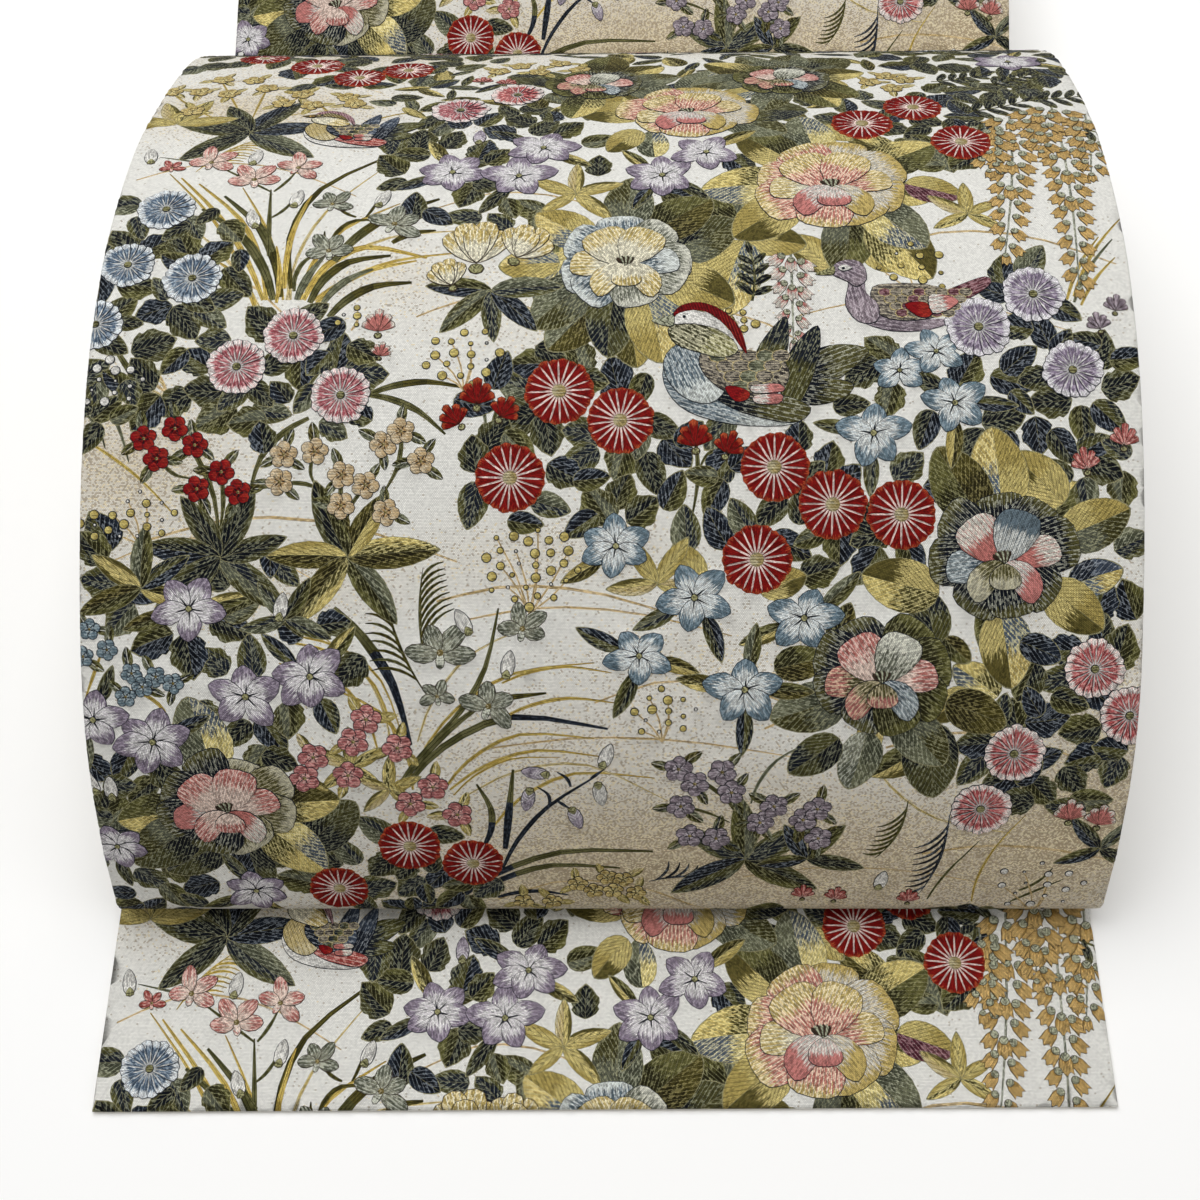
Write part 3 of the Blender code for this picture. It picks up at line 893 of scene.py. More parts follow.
def duck(chart, x, y, size, facing, drawing, silks):
    """A swimming duck; silks names the silk of each of its parts."""
    def spot(point):
        return x + facing * point[0] * size / 100, y + point[1] * size / 100

    for layer, part, start, stop, outline in drawing:
        (x0, y0), (x1, y1) = spot(start), spot(stop)
        span = math.dist((x0, y0), (x1, y1))
        dx, dy = (x1 - x0) / span, (y1 - y0) / span
        ring = [spot(p) for p in rounded(outline)]
        fine = 0.0 if part in ("crest", "face", "beak") else 0.85
        chart.draw(layer, (x0, y0, math.degrees(math.atan2(dy, dx)), span, 0.0),
                   in_shares(ring, x0, y0, dx, dy, span), silks[part], "ink", (-0.3, 1.5, 0),
                   (0, fine, 0, 0.3), 1.2, 0.24)
        if layer < 9:
            chart.claim(ring)
    body = [p for p in drawing if p[1] == "body"][0][4]
    low, high = min(p[0] for p in body), max(p[0] for p in body)
    for row in range(4):
        for k in range(int((high - low) / 7.5) - row):
            chart.disc(7, *spot((high - 8 - 7.5 * k - 3.5 * row, 6.0 - 5.2 * row)),
                       0.046 * size, "plumage" if (k + row) % 3 else silks["scale"], "gold_pale",
                       sides=8, squash=0.75, band=0.24, lines=(0, 1.4, 0, 0))
    eye = spot((36, 27) if drawing is DRAKE else (42, 25))
    chart.disc(9, *eye, 0.55, "ink", sides=8, lift=1.3)


# ---------------------------------------------------------------- layout of one repeat
BLADE_SILKS = {"O": "blade_olive", "N": "blade_navy", "S": "blade_sage", "G": "blade_gold",
               "P": "blade_pale", "M": "blade_moss"}
ROSETTES = (
    (139, 166, 10.2), (157, 157, 10), (125, 140, 10.2), (202, 143, 10.2), (219, 132, 10.2),
    (239, 129, 10.2), (197, 116, 10.2), (94, 25, 9.6), (113, 18, 9.4), (71, 7, 9.2),
    (234, 276, 10), (252, 288, 9.8), (265, 264, 9.8), (26, 346, 9), (47, 333, 9.4), (64, 319, 9),
    (80, 327, 9),
)
RIMMED = (
    (16, 232, 9, "mum_blue"), (8, 209, 8.6, "mum_blue"), (28, 204, 9, "mum_blue"),
    (1, 188, 8.4, "mum_blue"), (60, 184, 9.2, "mum_pink"), (44, 174, 9, "mum_pink"),
    (75, 165, 9, "mum_pink"), (280, 197, 9.6, "mum_lilac"), (263, 186, 10, "mum_lilac"),
    (290, 172, 9.2, "mum_lilac"), (296, 84, 9, "mum_coral"), (307, 70, 9.2, "mum_coral"),
    (274, 58, 9.4, "mum_coral"), (266, 39, 9.4, "mum_coral"), (102, 288, 9.8, "mum_pink"),
    (120, 301, 9.4, "mum_coral"),
)
BELLS = (
    (103, 249, 11.5, 100, "bell_lilac"), (124, 247, 12, 90, "bell_lilac"),
    (131, 262, 11.5, 75, "bell_lilac"), (169, 247, 11.8, 90, "bell_lilac"),
    (183, 259, 11.5, 60, "bell_lilac"), (291, 332, 12, 30, "bell_lilac"),
    (32, 102, 11.5, 55, "bell_lilac"), (67, 82, 11.8, 100, "bell_lilac"),
    (48, 76, 12.2, 90, "bell_lilac"), (20, 62, 12.2, 70, "bell_lilac"),
    (3, 69, 11, 10, "bell_lilac"), (5, 25, 10, 100, "bell_lilac"), (45, 6, 10.5, 35, "bell_lilac"),
    (239, 172, 8.6, 90, "bell_blue"), (250, 178, 9, 40, "bell_blue"),
    (255, 162, 10.5, 30, "bell_blue"), (231, 153, 11.5, 95, "bell_blue"),
    (156, 120, 11, 90, "bell_blue"), (179, 105, 12, 45, "bell_blue"),
    (211, 99, 11.5, 80, "bell_blue"), (194, 78, 12, 90, "bell_blue"),
    (163, 88, 10.5, 270, "bell_blue"),
)
PEONY_SPOTS = (
    (158, 210, 21.5, "yellow_blue", 10), (222, 243, 25, "yellow_coral", 30),
    (178, 287, 23, "yellow_coral", 80), (269, 117, 22, "white_navy", 55),
    (234, 82, 21.5, "coral_olive", 20), (40, 40, 21.5, "coral_white", 70),
    (146, 311, 17, "coral_olive", 45), (210, 315, 17, "coral_olive", 45),
)
PLUM_GROUPS = (
    # silk, radius, middles
    ("plum_pink", 4.6, ((83, 69), (79, 62), (92, 60), (67, 57), (64, 50), (77, 51), (95, 41),
        (102, 47), (109, 37))),
    ("plum_cream", 4.1, ((59, 147), (68, 148), (58, 139), (76, 141), (76, 132), (83, 138),
        (89, 130), (88, 150), (93, 154), (99, 145))),
    ("red_plain", 3.9, ((18, 152), (27, 155), (33, 150), (22, 146), (41, 142), (34, 137),
        (46, 136))),
    ("plum_lilac", 4.3, ((175, 53), (180, 48), (188, 52), (191, 45), (176, 40), (179, 29),
        (187, 28), (200, 34), (204, 40), (213, 35), (217, 39), (218, 28))),
    ("plum_gold", 4, ((2, 306), (13, 289), (12, 306), (17, 318), (22, 304), (28, 317),
        (34, 309), (42, 295), (47, 303), (52, 293), (63, 300), (66, 294), (112, 325), (119, 331),
        (126, 324), (133, 334), (140, 326), (240, 311), (246, 317), (252, 313), (247, 305))),
    ("plum_gold", 3.3, ((145, 9), (150, 6), (154, 12), (159, 11), (156, 6), (163, 5), (137, 1),
        (128, 1))),
    ("plum_blue", 3.2, ((3, 96), (8, 90), (1, 88), (15, 83), (22, 82), (18, 79), (27, 80),
        (13, 76))),
)
PLUMS = [(x, y, radius, silk) for silk, radius, spots in PLUM_GROUPS for x, y in spots]
# x, y, spread, how many, silk
BERRIES = (
    (111, 177, 12, 18, "berry"), (131, 114, 15, 30, "berry"), (170, 71, 10, 14, "berry"),
    (245, 206, 12, 12, "berry"), (18, 129, 10, 14, "berry"), (7, 169, 10, 14, "white"),
    (192, 188, 6, 8, "berry"), (288, 8, 15, 16, "white"), (77, 190, 5, 5, "berry"),
    (3, 126, 6, 6, "berry"),
)
# x, y, size, turn, silks, how many leaves, over how many degrees
STARS = (
    (41, 117, 23, 0, "mixed", 6, 260), (78, 117, 25, 0, "mixed", 6, 280),
    (18, 108, 18, 0, "mixed", 5, 220), (35, 273, 25, 0, "dark", 6, 260),
    (10, 279, 20, 0, "gold", 4, 160), (118, 199, 20, 180, "dark", 5, 200),
    (142, 238, 15, 0, "gold", 5, 260), (168, 109, 15, 0, "gold", 4, 200),
    (196, 20, 24, 0, "dark", 5, 250), (215, 20, 17, 0, "dark", 4, 200),
    (304, 24, 15, 0, "dark", 4, 240), (263, 228, 13, 0, "gold", 5, 240),
    (78, 54, 12, 0, "gold", 5, 260), (89, 46, 11, 0, "gold", 5, 260),
    (60, 99, 14, 0, "dark", 4, 220),
)
# x, y, angle, length
FEATHERS = (
    (261, 311, 10, 20), (269, 284, 12, 22), (292, 294, 0, 22), (300, 274, -30, 20),
    (310, 308, 20, 18), (280, 308, 20, 18), (196, 195, 80, 17),
)
# x, y, angle, length, silks of the two halves
BIG_LEAVES = (
    (195, 219, 107, 28, "olive", "sage_olive"), (194, 219, -9, 19, "gold_olive", "gold"),
    (194, 217, -111, 29, "slate_gold", "gold"), (151, 196, -134, 23, "moss", "sage"),
    (158, 196, -79, 23, "gold", "moss"), (227, 229, -93, 25, "olive", "sage_olive"),
    (233, 225, -48, 28, "gold_olive", "olive_gold"), (245, 242, -19, 18, "gold", "wine"),
    (286, 132, 133, 21, "gold_olive", "gold"), (285, 122, 20, 22, "gold", "sage_olive"),
    (288, 108, 24, 16, "slate", "slate_gold"), (281, 108, -34, 21, "gold", "gold_olive"),
    (250, 106, 167, 23, "olive_gold", "gold_olive"),
    (268, 101, -79, 23, "slate_gold", "gold_olive"), (253, 74, -17, 19, "moss", "moss"),
    (247, 68, -77, 25, "navy_olive", "navy_olive"), (230, 65, -97, 19, "sage", "veil"),
    (222, 63, -139, 18, "navy_olive", "olive_navy"), (62, 24, 50, 24, "navy_olive", "navy_olive"),
    (37, 27, -143, 22, "navy_olive", "olive_navy"), (45, 26, -89, 20, "navy_olive", "navy"),
    (198, 107, 19, 14, "gold", "gold_olive"), (181, 109, 125, 14, "gold", "gold"),
    (142, 212, -126, 20, "slate_gold", "gold_slate"), (138, 209, 180, 18, "gold", "slate_gold"),
    (139, 315, -66, 32, "gold", "sage_olive"),
    (162, 272, -133, 16, "gold_olive", "gold"), (274, 92, -20, 13, "navy", "navy"),
    (252, 93, -47, 10, "moss", "olive"),
)
# middles of the dark leaves
LEAF_SPOTS = (
    (6, 181), (19, 181), (26, 163), (18, 160), (35, 166), (55, 160), (39, 158), (74, 178),
    (82, 172), (63, 172), (1, 234), (6, 218), (16, 217), (24, 217), (23, 210), (34, 214),
    (41, 202), (8, 193), (18, 192), (38, 196), (28, 189), (50, 188), (1, 200), (0, 181),
    (47, 186), (126, 167), (130, 175), (144, 177), (155, 170), (128, 158), (136, 153), (146, 153),
    (145, 145), (141, 141), (157, 145), (166, 141), (173, 147), (186, 143), (169, 155),
    (157, 136), (164, 130), (137, 132), (114, 132), (118, 129), (184, 134), (185, 125),
    (176, 125), (201, 130), (120, 153), (114, 147), (151, 132), (192, 128), (180, 132),
    (173, 136), (259, 172), (272, 168), (269, 157), (283, 162), (270, 148), (279, 152),
    (292, 155), (295, 158), (304, 167), (299, 178), (307, 175), (260, 148), (253, 142),
    (241, 143), (230, 143), (218, 145), (251, 136), (207, 120), (221, 120), (230, 122),
    (242, 116), (210, 116), (234, 179), (228, 172), (236, 163), (246, 154), (271, 205),
    (281, 208), (268, 198), (306, 121), (303, 136), (288, 191), (297, 181), (305, 104),
    (297, 104), (287, 89), (285, 81), (274, 69), (283, 68), (293, 65), (304, 52), (295, 57),
    (283, 45), (292, 49), (271, 49), (263, 53), (298, 94), (304, 90), (262, 61), (298, 75),
    (11, 54), (15, 46), (23, 51), (5, 42), (10, 35), (19, 33), (23, 15), (13, 11), (28, 8),
    (2, 53), (58, 26), (68, 20), (59, 11), (84, 31), (86, 17), (102, 11), (82, 8), (93, 8),
    (105, 29), (29, 97), (44, 97), (21, 93), (50, 88), (39, 87), (32, 88), (45, 64), (55, 64),
    (61, 69), (50, 56), (38, 61), (63, 61), (72, 70), (4, 61), (57, 56), (7, 125), (9, 117),
    (4, 120), (6, 110), (12, 99), (6, 105), (47, 102), (54, 104), (31, 352), (19, 336), (40, 324),
    (54, 316), (48, 380), (66, 367), (72, 311), (87, 315), (45, 309), (10, 334), (3, 329),
    (224, 280), (230, 290), (243, 272), (247, 262), (257, 265), (255, 277), (259, 254),
    (265, 254), (218, 295), (272, 271), (262, 294), (241, 291), (243, 254), (96, 244), (109, 238),
    (118, 240), (132, 251), (111, 255), (146, 247), (162, 239), (175, 237), (178, 250),
    (194, 252), (139, 273), (122, 280), (97, 273), (102, 267), (116, 272), (81, 351), (134, 298),
    (128, 288), (149, 266), (162, 252), (91, 267), (111, 261),
)
BLADES = (
    # silks along it, width, x and y of its root and of its tip, bow as a share of its length
    ("G", 1.3, 47, 196, 14, 249, -0.05), ("P", 1.2, 49, 194, 20, 228, -0.05),
    ("G", 1.3, 56, 196, 38, 242, -0.05), ("G", 1.6, 61, 196, 88, 234, 0.15),
    ("P", 1.2, 60, 197, 110, 222, 0.15), ("G", 1.4, 64, 195, 108, 213, 0.1),
    ("P", 1.1, 57, 196, 80, 250, 0.1), ("G", 1.1, 86, 60, 58, 86, -0.2),
    ("P", 0.9, 90, 58, 68, 96, -0.15), ("G", 1.2, 104, 44, 150, 63, 0.2),
    ("G", 1.1, 100, 60, 150, 86, 0.15), ("P", 0.9, 98, 62, 134, 98, 0.15),
    ("G", 1.2, 118, 30, 168, 50, 0.2), ("P", 0.9, 112, 44, 172, 42, 0.2),
    ("G", 1.3, 96, 46, 70, 80, -0.2), ("P", 0.9, 230, 60, 276, 30, -0.15),
    ("G", 1.2, 292, 196, 310, 226, 0.05), ("G", 1, 26, 262, 62, 290, 0.15),
    ("G", 1, 60, 276, 46, 300, -0.15), ("G", 1, 66, 270, 96, 288, 0.15),
    ("G", 2, 50, 196, 18, 247, -0.05), ("G", 2, 51, 196, 24, 244, -0.1),
    ("O", 3.2, 53, 196, 27, 232, -0.1), ("MO", 3, 55, 197, 33, 238, -0.1),
    ("G", 2, 48, 193, 35, 210, -0.1), ("P", 1.8, 58, 196, 55, 219, 0),
    ("G", 1.6, 54, 195, 52, 216, -0.05), ("S", 2.7, 60, 196, 67, 212, 0.05),
    ("G", 2.6, 62, 196, 98, 211, 0.3), ("OM", 3, 64, 195, 87, 212, 0.2),
    ("G", 2, 66, 195, 95, 210, 0.1), ("S", 2.7, 68, 195, 82, 207, 0.1),
    ("OM", 3, 70, 190, 94, 202, 0.15), ("M", 2.3, 58, 200, 85, 260, 0.2),
    ("G", 1.9, 56, 200, 60, 238, 0.05), ("OM", 3.5, 70, 210, 100, 236, 0.1),
    ("M", 2.4, 87, 217, 100, 222, 0.1), ("OM", 2.2, 83, 165, 112, 167, 0.1),
    ("O", 2.2, 83, 165, 106, 153, 0.1), ("O", 2, 66, 158, 49, 134, -0.15),
    ("O", 1.9, 7, 181, 20, 162, 0), ("O", 1.8, 72, 183, 63, 164, 0.05),
    ("S", 1.2, 5, 165, 14, 145, 0.05), ("S", 1.1, 0, 160, 7, 149, 0.1),
    ("G", 1, 0, 152, 28, 129, 0.05), ("OONN", 3.1, 74, 102, 96, 61, 0.1),
    ("G", 1.1, 62, 92, 92, 61, 0.2), ("G", 0.9, 63, 94, 94, 62, 0.2),
    ("OOON", 2.4, 93, 46, 154, 66, 0.2), ("O", 2.6, 93, 49, 119, 75, 0.05),
    ("M", 1.8, 119, 75, 136, 77, 0), ("O", 1.8, 103, 63, 122, 102, -0.1),
    ("G", 1.2, 107, 46, 153, 57, 0.15), ("G", 0.8, 108, 44, 140, 57, 0.15),
    ("G", 1, 123, 80, 155, 83, 0.1), ("G", 1.2, 124, 70, 156, 74, 0.1),
    ("NNOO", 2.4, 106, 0, 168, 23, 0.15), ("NO", 2.4, 111, 2, 158, 16, 0.15),
    ("N", 1.8, 120, 3, 142, 4, 0.1), ("NO", 2.2, 117, 26, 115, 48, -0.15),
    ("NNO", 2.5, 123, 24, 126, 53, 0), ("N", 1.6, 122, 16, 151, 51, 0.1),
    ("N", 1.1, 136, 39, 133, 47, -0.25), ("N", 1.1, 143, 47, 139, 52, -0.15),
    ("N", 1, 149, 50, 153, 53, 0), ("N", 1.1, 139, 42, 143, 39, 0),
    ("S", 1.4, 292, 194, 306, 217, 0.05), ("G", 1.2, 294, 193, 306, 210, 0.05),
    ("G", 1.3, 290, 195, 302, 218, 0.05), ("O", 0.9, 254, 2, 267, 27, 0.05),
    ("G", 0.9, 268, 1, 280, 37, 0.1), ("S", 1.1, 197, 41, 214, 62, 0.15),
    ("O", 1.6, 50, 212, 47, 241, 0), ("O", 1.2, 49, 228, 55, 238, -0.1),
    ("O", 1.2, 50, 220, 44, 229, 0.05), ("O", 1.2, 48, 240, 54, 251, -0.05),
    ("O", 1.1, 47, 240, 27, 254, 0), ("S", 0.9, 27, 254, 9, 258, 0),
    ("O", 1.6, 59, 199, 68, 215, 0.2), ("M", 1.6, 68, 215, 85, 226, 0.3),
    ("M", 1.2, 75, 228, 68, 234, 0.1), ("M", 1.1, 78, 228, 81, 237, -0.05),
    ("M", 1.2, 68, 216, 66, 222, 0.1), ("S", 1.4, 115, 165, 118, 154, 0.05),
    ("O", 1.2, 121, 161, 119, 153, 0), ("O", 1.4, 179, 151, 178, 128, 0.05),
    ("O", 1.2, 187, 149, 180, 142, -0.15), ("O", 1.4, 58, 138, 73, 134, 0.15),
    ("O", 1.2, 68, 147, 69, 137, -0.15), ("O", 1.7, 76, 140, 79, 117, -0.05),
    ("O", 1.4, 89, 130, 79, 120, -0.15), ("O", 1.5, 93, 154, 88, 135, 0.1),
    ("O", 1.1, 99, 145, 92, 142, -0.1), ("O", 1.2, 83, 137, 78, 128, -0.1),
    ("O", 1.2, 23, 146, 33, 140, -0.15), ("O", 1.7, 28, 154, 41, 119, 0.1),
    ("O", 1.5, 41, 141, 41, 125, 0.05), ("O", 1.1, 46, 136, 42, 127, -0.05),
    ("O", 1.6, 50, 134, 42, 121, -0.15), ("O", 1.5, 174, 52, 196, 20, 0.2),
    ("O", 1.1, 188, 51, 189, 41, -0.05), ("O", 1.1, 176, 40, 191, 34, 0.05),
    ("O", 1.2, 204, 40, 198, 24, 0), ("O", 1.3, 213, 34, 215, 20, -0.05),
    ("O", 1.1, 217, 38, 214, 25, 0.05), ("O", 1, 179, 28, 195, 21, 0.1),
    ("G", 1, 2, 306, 30, 276, -0.05), ("G", 1, 17, 316, 32, 280, 0), ("G", 1, 34, 307, 34, 280, 0),
    ("G", 1, 47, 302, 36, 279, 0), ("G", 1, 14, 288, 9, 281, -0.2),
    ("O", 1.2, 282, 6, 291, 16, -0.1), ("O", 1.1, 280, 1, 295, 11, 0),
    ("S", 1, 11, 166, 6, 159, 0), ("G", 1.2, 14, 78, 26, 64, 0.2), ("G", 1.1, 6, 88, 1, 75, 0),
    ("O", 1.1, 111, 268, 108, 253, 0.05),
)
WISTERIAS = (
    # top, bottom
    ((283, 279), (273, 212)), ((298, 287), (294, 200)), ((308, 279), (304, 247)),
    ((274, 273), (272, 249)), ((292, 284), (290, 259)),
)
THICKETS = (
    # x, y, radius, leaf length, silks: where leaves fill the gaps
    (18, 172, 26, 11, "dark"), (62, 170, 22, 11, "dark"), (20, 208, 24, 11, "dark"),
    (140, 152, 28, 12, "dark"), (176, 138, 22, 12, "dark"), (222, 134, 28, 12, "dark"),
    (262, 112, 32, 17, "broad"), (236, 82, 30, 16, "broad"), (288, 62, 24, 12, "dark"),
    (275, 160, 32, 12, "dark"), (158, 214, 28, 15, "broad"), (224, 242, 34, 17, "broad"),
    (180, 286, 32, 15, "broad"), (246, 275, 26, 12, "dark"), (115, 256, 34, 12, "dark"),
    (110, 300, 28, 12, "mixed"), (70, 335, 44, 12, "dark"), (150, 318, 34, 13, "mixed"),
    (212, 318, 34, 14, "mixed"), (272, 330, 40, 13, "dark"), (150, 362, 28, 12, "mixed"),
    (20, 22, 30, 12, "dark"), (40, 76, 44, 12, "dark"), (94, 14, 26, 11, "dark"),
    (44, 40, 26, 14, "broad"), (30, 362, 28, 13, "dark"), (90, 365, 28, 13, "dark"),
    (205, 365, 28, 13, "dark"), (262, 365, 28, 13, "dark"), (300, 362, 24, 13, "mixed"),
)
HAZE = (
    # x, y, reach across, reach along, strength of the warm haze
    (235, 18, 90, 30, 0.66), (150, 26, 60, 24, 0.42), (128, 62, 50, 14, 0.22),
    (300, 42, 30, 46, 0.60), (60, 108, 44, 10, 0.20), (14, 143, 28, 22, 0.50),
    (140, 118, 40, 10, 0.22), (34, 290, 44, 18, 0.50), (90, 204, 26, 12, 0.20),
    (150, 186, 44, 12, 0.16), (120, 6, 60, 14, 0.40), (60, 345, 60, 26, 0.30),
    (220, 372, 90, 26, 0.30), (100, 375, 60, 20, 0.25), (180, 85, 34, 14, 0.20),
)


def haze(x, y):
    """How thickly the ground is speckled, from 0 to 1, at places of the chart."""
    total = np.zeros(np.shape(x))
    for cx, cy, rx, ry, strength in HAZE:
        for turn in (-1, 0, 1):
            total = total + strength * np.exp(-((x - cx) / rx) ** 2
                                              - ((y % REPEAT - cy - turn * REPEAT) / ry) ** 2)
    return np.clip(total, 0.0, 1.0)


@functools.lru_cache(maxsize=1)
def pattern():
    """Every shape of one repeat."""
    chart = Chart()
    dice = chart.dice
    for x, y, radius, *_ in ROSETTES + RIMMED + BELLS + PEONY_SPOTS:
        chart.claim_round(x, y, radius * 0.9)
    for x, y, radius, _ in PLUMS:
        chart.claim_round(x, y, radius * 1.3)
    duck(chart, 198, 173, 62, -1, DRAKE, {
        "tail": "navy_rim", "sail": "olive_navy", "under": "blue_rim", "wing": "navy_rim",
        "body": "plumage", "scale": "sage", "breast": "blue_rim", "bar": "red_plain",
        "bar_too": "white_pink", "ruff": "ruff", "face": "white", "crest": "red_plain",
        "beak": "sage"})
    duck(chart, 243, 195, 46, -1, HEN, {
        "tail": "wine", "tip": "gold_pale", "under": "dove", "body": "plumage",
        "scale": "wine", "bar": "red_plain", "bar_too": "white_pink", "neck": "dove",
        "face": "white", "beak": "olive"})
    duck(chart, 71, 274, 40, -1, DRAKE, {
        "tail": "slate_olive", "sail": "slate", "under": "white", "wing": "coral_deep",
        "body": "slate", "scale": "slate_olive", "breast": "gold_pale", "bar": "red_plain",
        "bar_too": "pink_white", "ruff": "yellow", "face": "cream", "crest": "wine",
        "beak": "ochre"})

    # mist lines, grasses, stalks and fronds, underneath everything
    for x, y, reach in ((10, 116, 60), (20, 122, 90), (104, 104, 70), (110, 98, 80),
                        (120, 60, 90), (150, 74, 70), (200, 66, 50), (196, 12, 80),
                        (236, 60, 60), (20, 196, 40), (4, 246, 70), (100, 232, 60),
                        (96, 190, 50), (158, 184, 60), (210, 190, 80), (236, 214, 70),
                        (150, 362, 90), (14, 312, 60), (250, 22, 60), (120, 2, 70)):
        rise = dice.uniform(3, 9)
        chart.ribbon(1, ((x, y), (x + reach * 0.3, y + rise), (x + reach * 0.65, y + rise * 0.6),
                         (x + reach, y - rise)), dice.choice((0.55, 0.7, 0.9)),
                     ("gold_wire",), parts=7, ends=(0.8, 0.6))
    for silks, width, x, y, tip_x, tip_y, bow in BLADES:
        chart.ribbon(1, bowed(x, y, tip_x, tip_y, bow), width,
                     [BLADE_SILKS[k] for k in silks], ends=(0.6, 0.3))
    comb(chart, (257, 37), 270, -24, 34, ("navy", "ink"), -1, reach=0.42)
    comb(chart, (244, 42), 268, -44, 24, ("blade_olive", "blade_moss"), -1, count=7, reach=0.5)
    comb(chart, (100, 88), 96, -14, 26, ("blade_olive", "blade_moss"), -1, count=9, reach=0.62)
    comb(chart, (100, 78), 122, -26, 30, ("blade_moss", "blade_olive"), 1, count=9, reach=0.50)
    comb(chart, (167, 10), 20, -40, 20, ("navy", "ink"), 1, count=6, reach=0.5)
    comb(chart, (22, 250), 60, -30, 26, ("blade_gold", "blade_pale"), -1)
    comb(chart, (26, 156), 96, 40, 24, ("gold_wire", "gold_pale"), 1, count=6)
    for x, y, angle, length in FEATHERS:
        feather_leaf(chart, x, y, angle, length)
    for x, y, size, turn, silks, count, spread in STARS:
        star_leaves(chart, x, y, size, silks, turn, count, spread)

    # leaves round each flower, then leaves that fill the thickets
    for x, y, angle, length, *silks in BIG_LEAVES:
        chart.leaf(3, x, y, angle, length, "broad", silks, dice.uniform(-0.10, 0.10))
    for x, y, radius, _, turn in PEONY_SPOTS:
        nest(chart, x, y, radius, "broad", "broad", 10, 17, turn)
    flowers = [spot[:2] for spot in ROSETTES + RIMMED + BELLS]
    for x, y in LEAF_SPOTS:
        nearest = min(flowers, key=lambda spot: math.dist(spot, (x, y)))
        angle = direction(nearest, (x, y)) + dice.uniform(-50, 50)
        size = dice.uniform(11.0, 14.0)
        if chart.free([(x, y)]) and chart.has_room(x, y, 5.0):
            chart.leaf(2, *off(x, y, -size / 2, angle), angle, size,
                       dice.choice(("lobed", "lobed", "oval")), dice.choice(LEAF_SILKS["dark"]),
                       dice.uniform(-0.15, 0.15))
    for x, y, radius, *_ in BELLS:
        nest(chart, x, y, radius * 0.85, "lance", "mixed", 4, 11)
    for x, y, radius, silk in PLUMS:
        green = "gold" if silk in ("plum_pink", "plum_gold") else "green"
        nest(chart, x, y, radius, "small", green, 3, 5, layer=4)
    for x, y, radius, length, silks in THICKETS:
        thicket(chart, x, y, radius, length, silks, round(radius * radius * 0.2))

    for x, y, spread, count, silk in BERRIES:
        berries(chart, x, y, spread, count, silk)
    for x, y, radius, silk in PLUMS:
        plum(chart, x, y, radius, silk)
    for x, y, angle, size, silk in (
            (26, 255, 80, 8.5, "coral"), (41, 246, 100, 9, "coral"), (54, 252, 60, 8, "coral"),
            (14, 252, 95, 4.5, "coral_deep"), (67, 234, 80, 7, "veil"), (87, 225, 60, 9, "veil"),
            (68, 214, 100, 8, "veil"), (129, 96, 80, 8, "veil"), (105, 89, 90, 10, "veil"),
            (119, 73, 70, 9, "veil"), (104, 76, 100, 6, "veil")):
        orchid(chart, x, y, angle, size, silk)
    for x, y, angle, *silk in (
            (7, 254, 100), (39, 253, 80), (55, 232, 80), (45, 223, 110), (81, 232, 70),
            (114, 94, 120), (124, 81, 80), (152, 53, 70), (151, 49, -80),
            (137, 51, 170, "bell_lilac"), (131, 47, -100, "bell_lilac"),
            (143, 40, -70, "bell_lilac"), (238, 6, 80), (6, 42, 90), (2, 44, 110),
            (58, 98, 80), (110, 264, 90, "bell_lilac")):
        bud(chart, x, y, angle, 9.0, silk[0] if silk else "white")
    for x, y, angle, size in ((113, 209, 92, 17), (125, 211, 64, 14), (106, 201, 110, 10)):
        cup_flower(chart, x, y, angle, size)
    for x, y, angle, size, silk in (
            (115, 162, 90, 8.5, "red"), (110, 156, 130, 7.5, "red"),
            (122, 158, 60, 7.5, "red"), (179, 149, 95, 8.5, "red"),
            (188, 147, 70, 7.5, "red"), (304, 149, 85, 7, "coral_deep"),
            (293, 142, 100, 7, "coral_deep"), (215, 3, 90, 6, "coral_deep"),
            (225, 2, 80, 6, "coral_deep"), (248, 1, 90, 6, "coral_deep"),
            (107, 313, 90, 6, "coral_deep"), (115, 311, 80, 6, "coral_deep"),
            (304, 191, 80, 6, "dove"), (299, 185, 100, 6, "dove"),
            (85, 185, 90, 8, "pink_white"), (86, 177, 80, 5, "pink_white"),
            (293, 35, 90, 8, "pink_white"), (302, 33, 80, 8, "pink_white")):
        thistle(chart, x, y, angle, size, silk)
    for top, tip in WISTERIAS:
        wisteria(chart, top, tip)
    wisteria(chart, (208, 212), (208, 182), silk="pink_white", reach=4.0, size=6.2)
    # the part of the repeat that lies behind the drum's crest
    for x in range(14, 310, 37):
        if dice.random() < 0.5:
            rimmed_mum(chart, x, 366, 9, dice.choice(("mum_blue", "mum_lilac", "mum_pink")))
        else:
            bell(chart, x, 370, 11, 20, dice.choice(("bell_lilac", "bell_blue")))
    for x, y, radius, turn, silk in BELLS:
        bell(chart, x, y, radius, turn, silk)
    for x, y, radius in ROSETTES:
        rosette(chart, x, y, radius)
    for x, y, radius, silk in RIMMED:
        rimmed_mum(chart, x, y, radius, silk)
    for x, y, radius, kind, turn in PEONY_SPOTS:
        peony(chart, x, y, radius, kind, turn)
    return chart.shapes()


# ---------------------------------------------------------------- weaving a stretch of cloth
ROUND = WALL / MM / 2  # how far in from a selvedge or a cut end the cloth is rounded off
SEAM = 0.05            # the same where a stretch goes on as the next one
PROUD = 0.20 * MM      # how far the silk floats stand off the ground
MARGIN = (0.0, 0.10, 0.30, 0.65, ROUND)
FACE_SHARE = 0.92      # how much of the baking map the face has


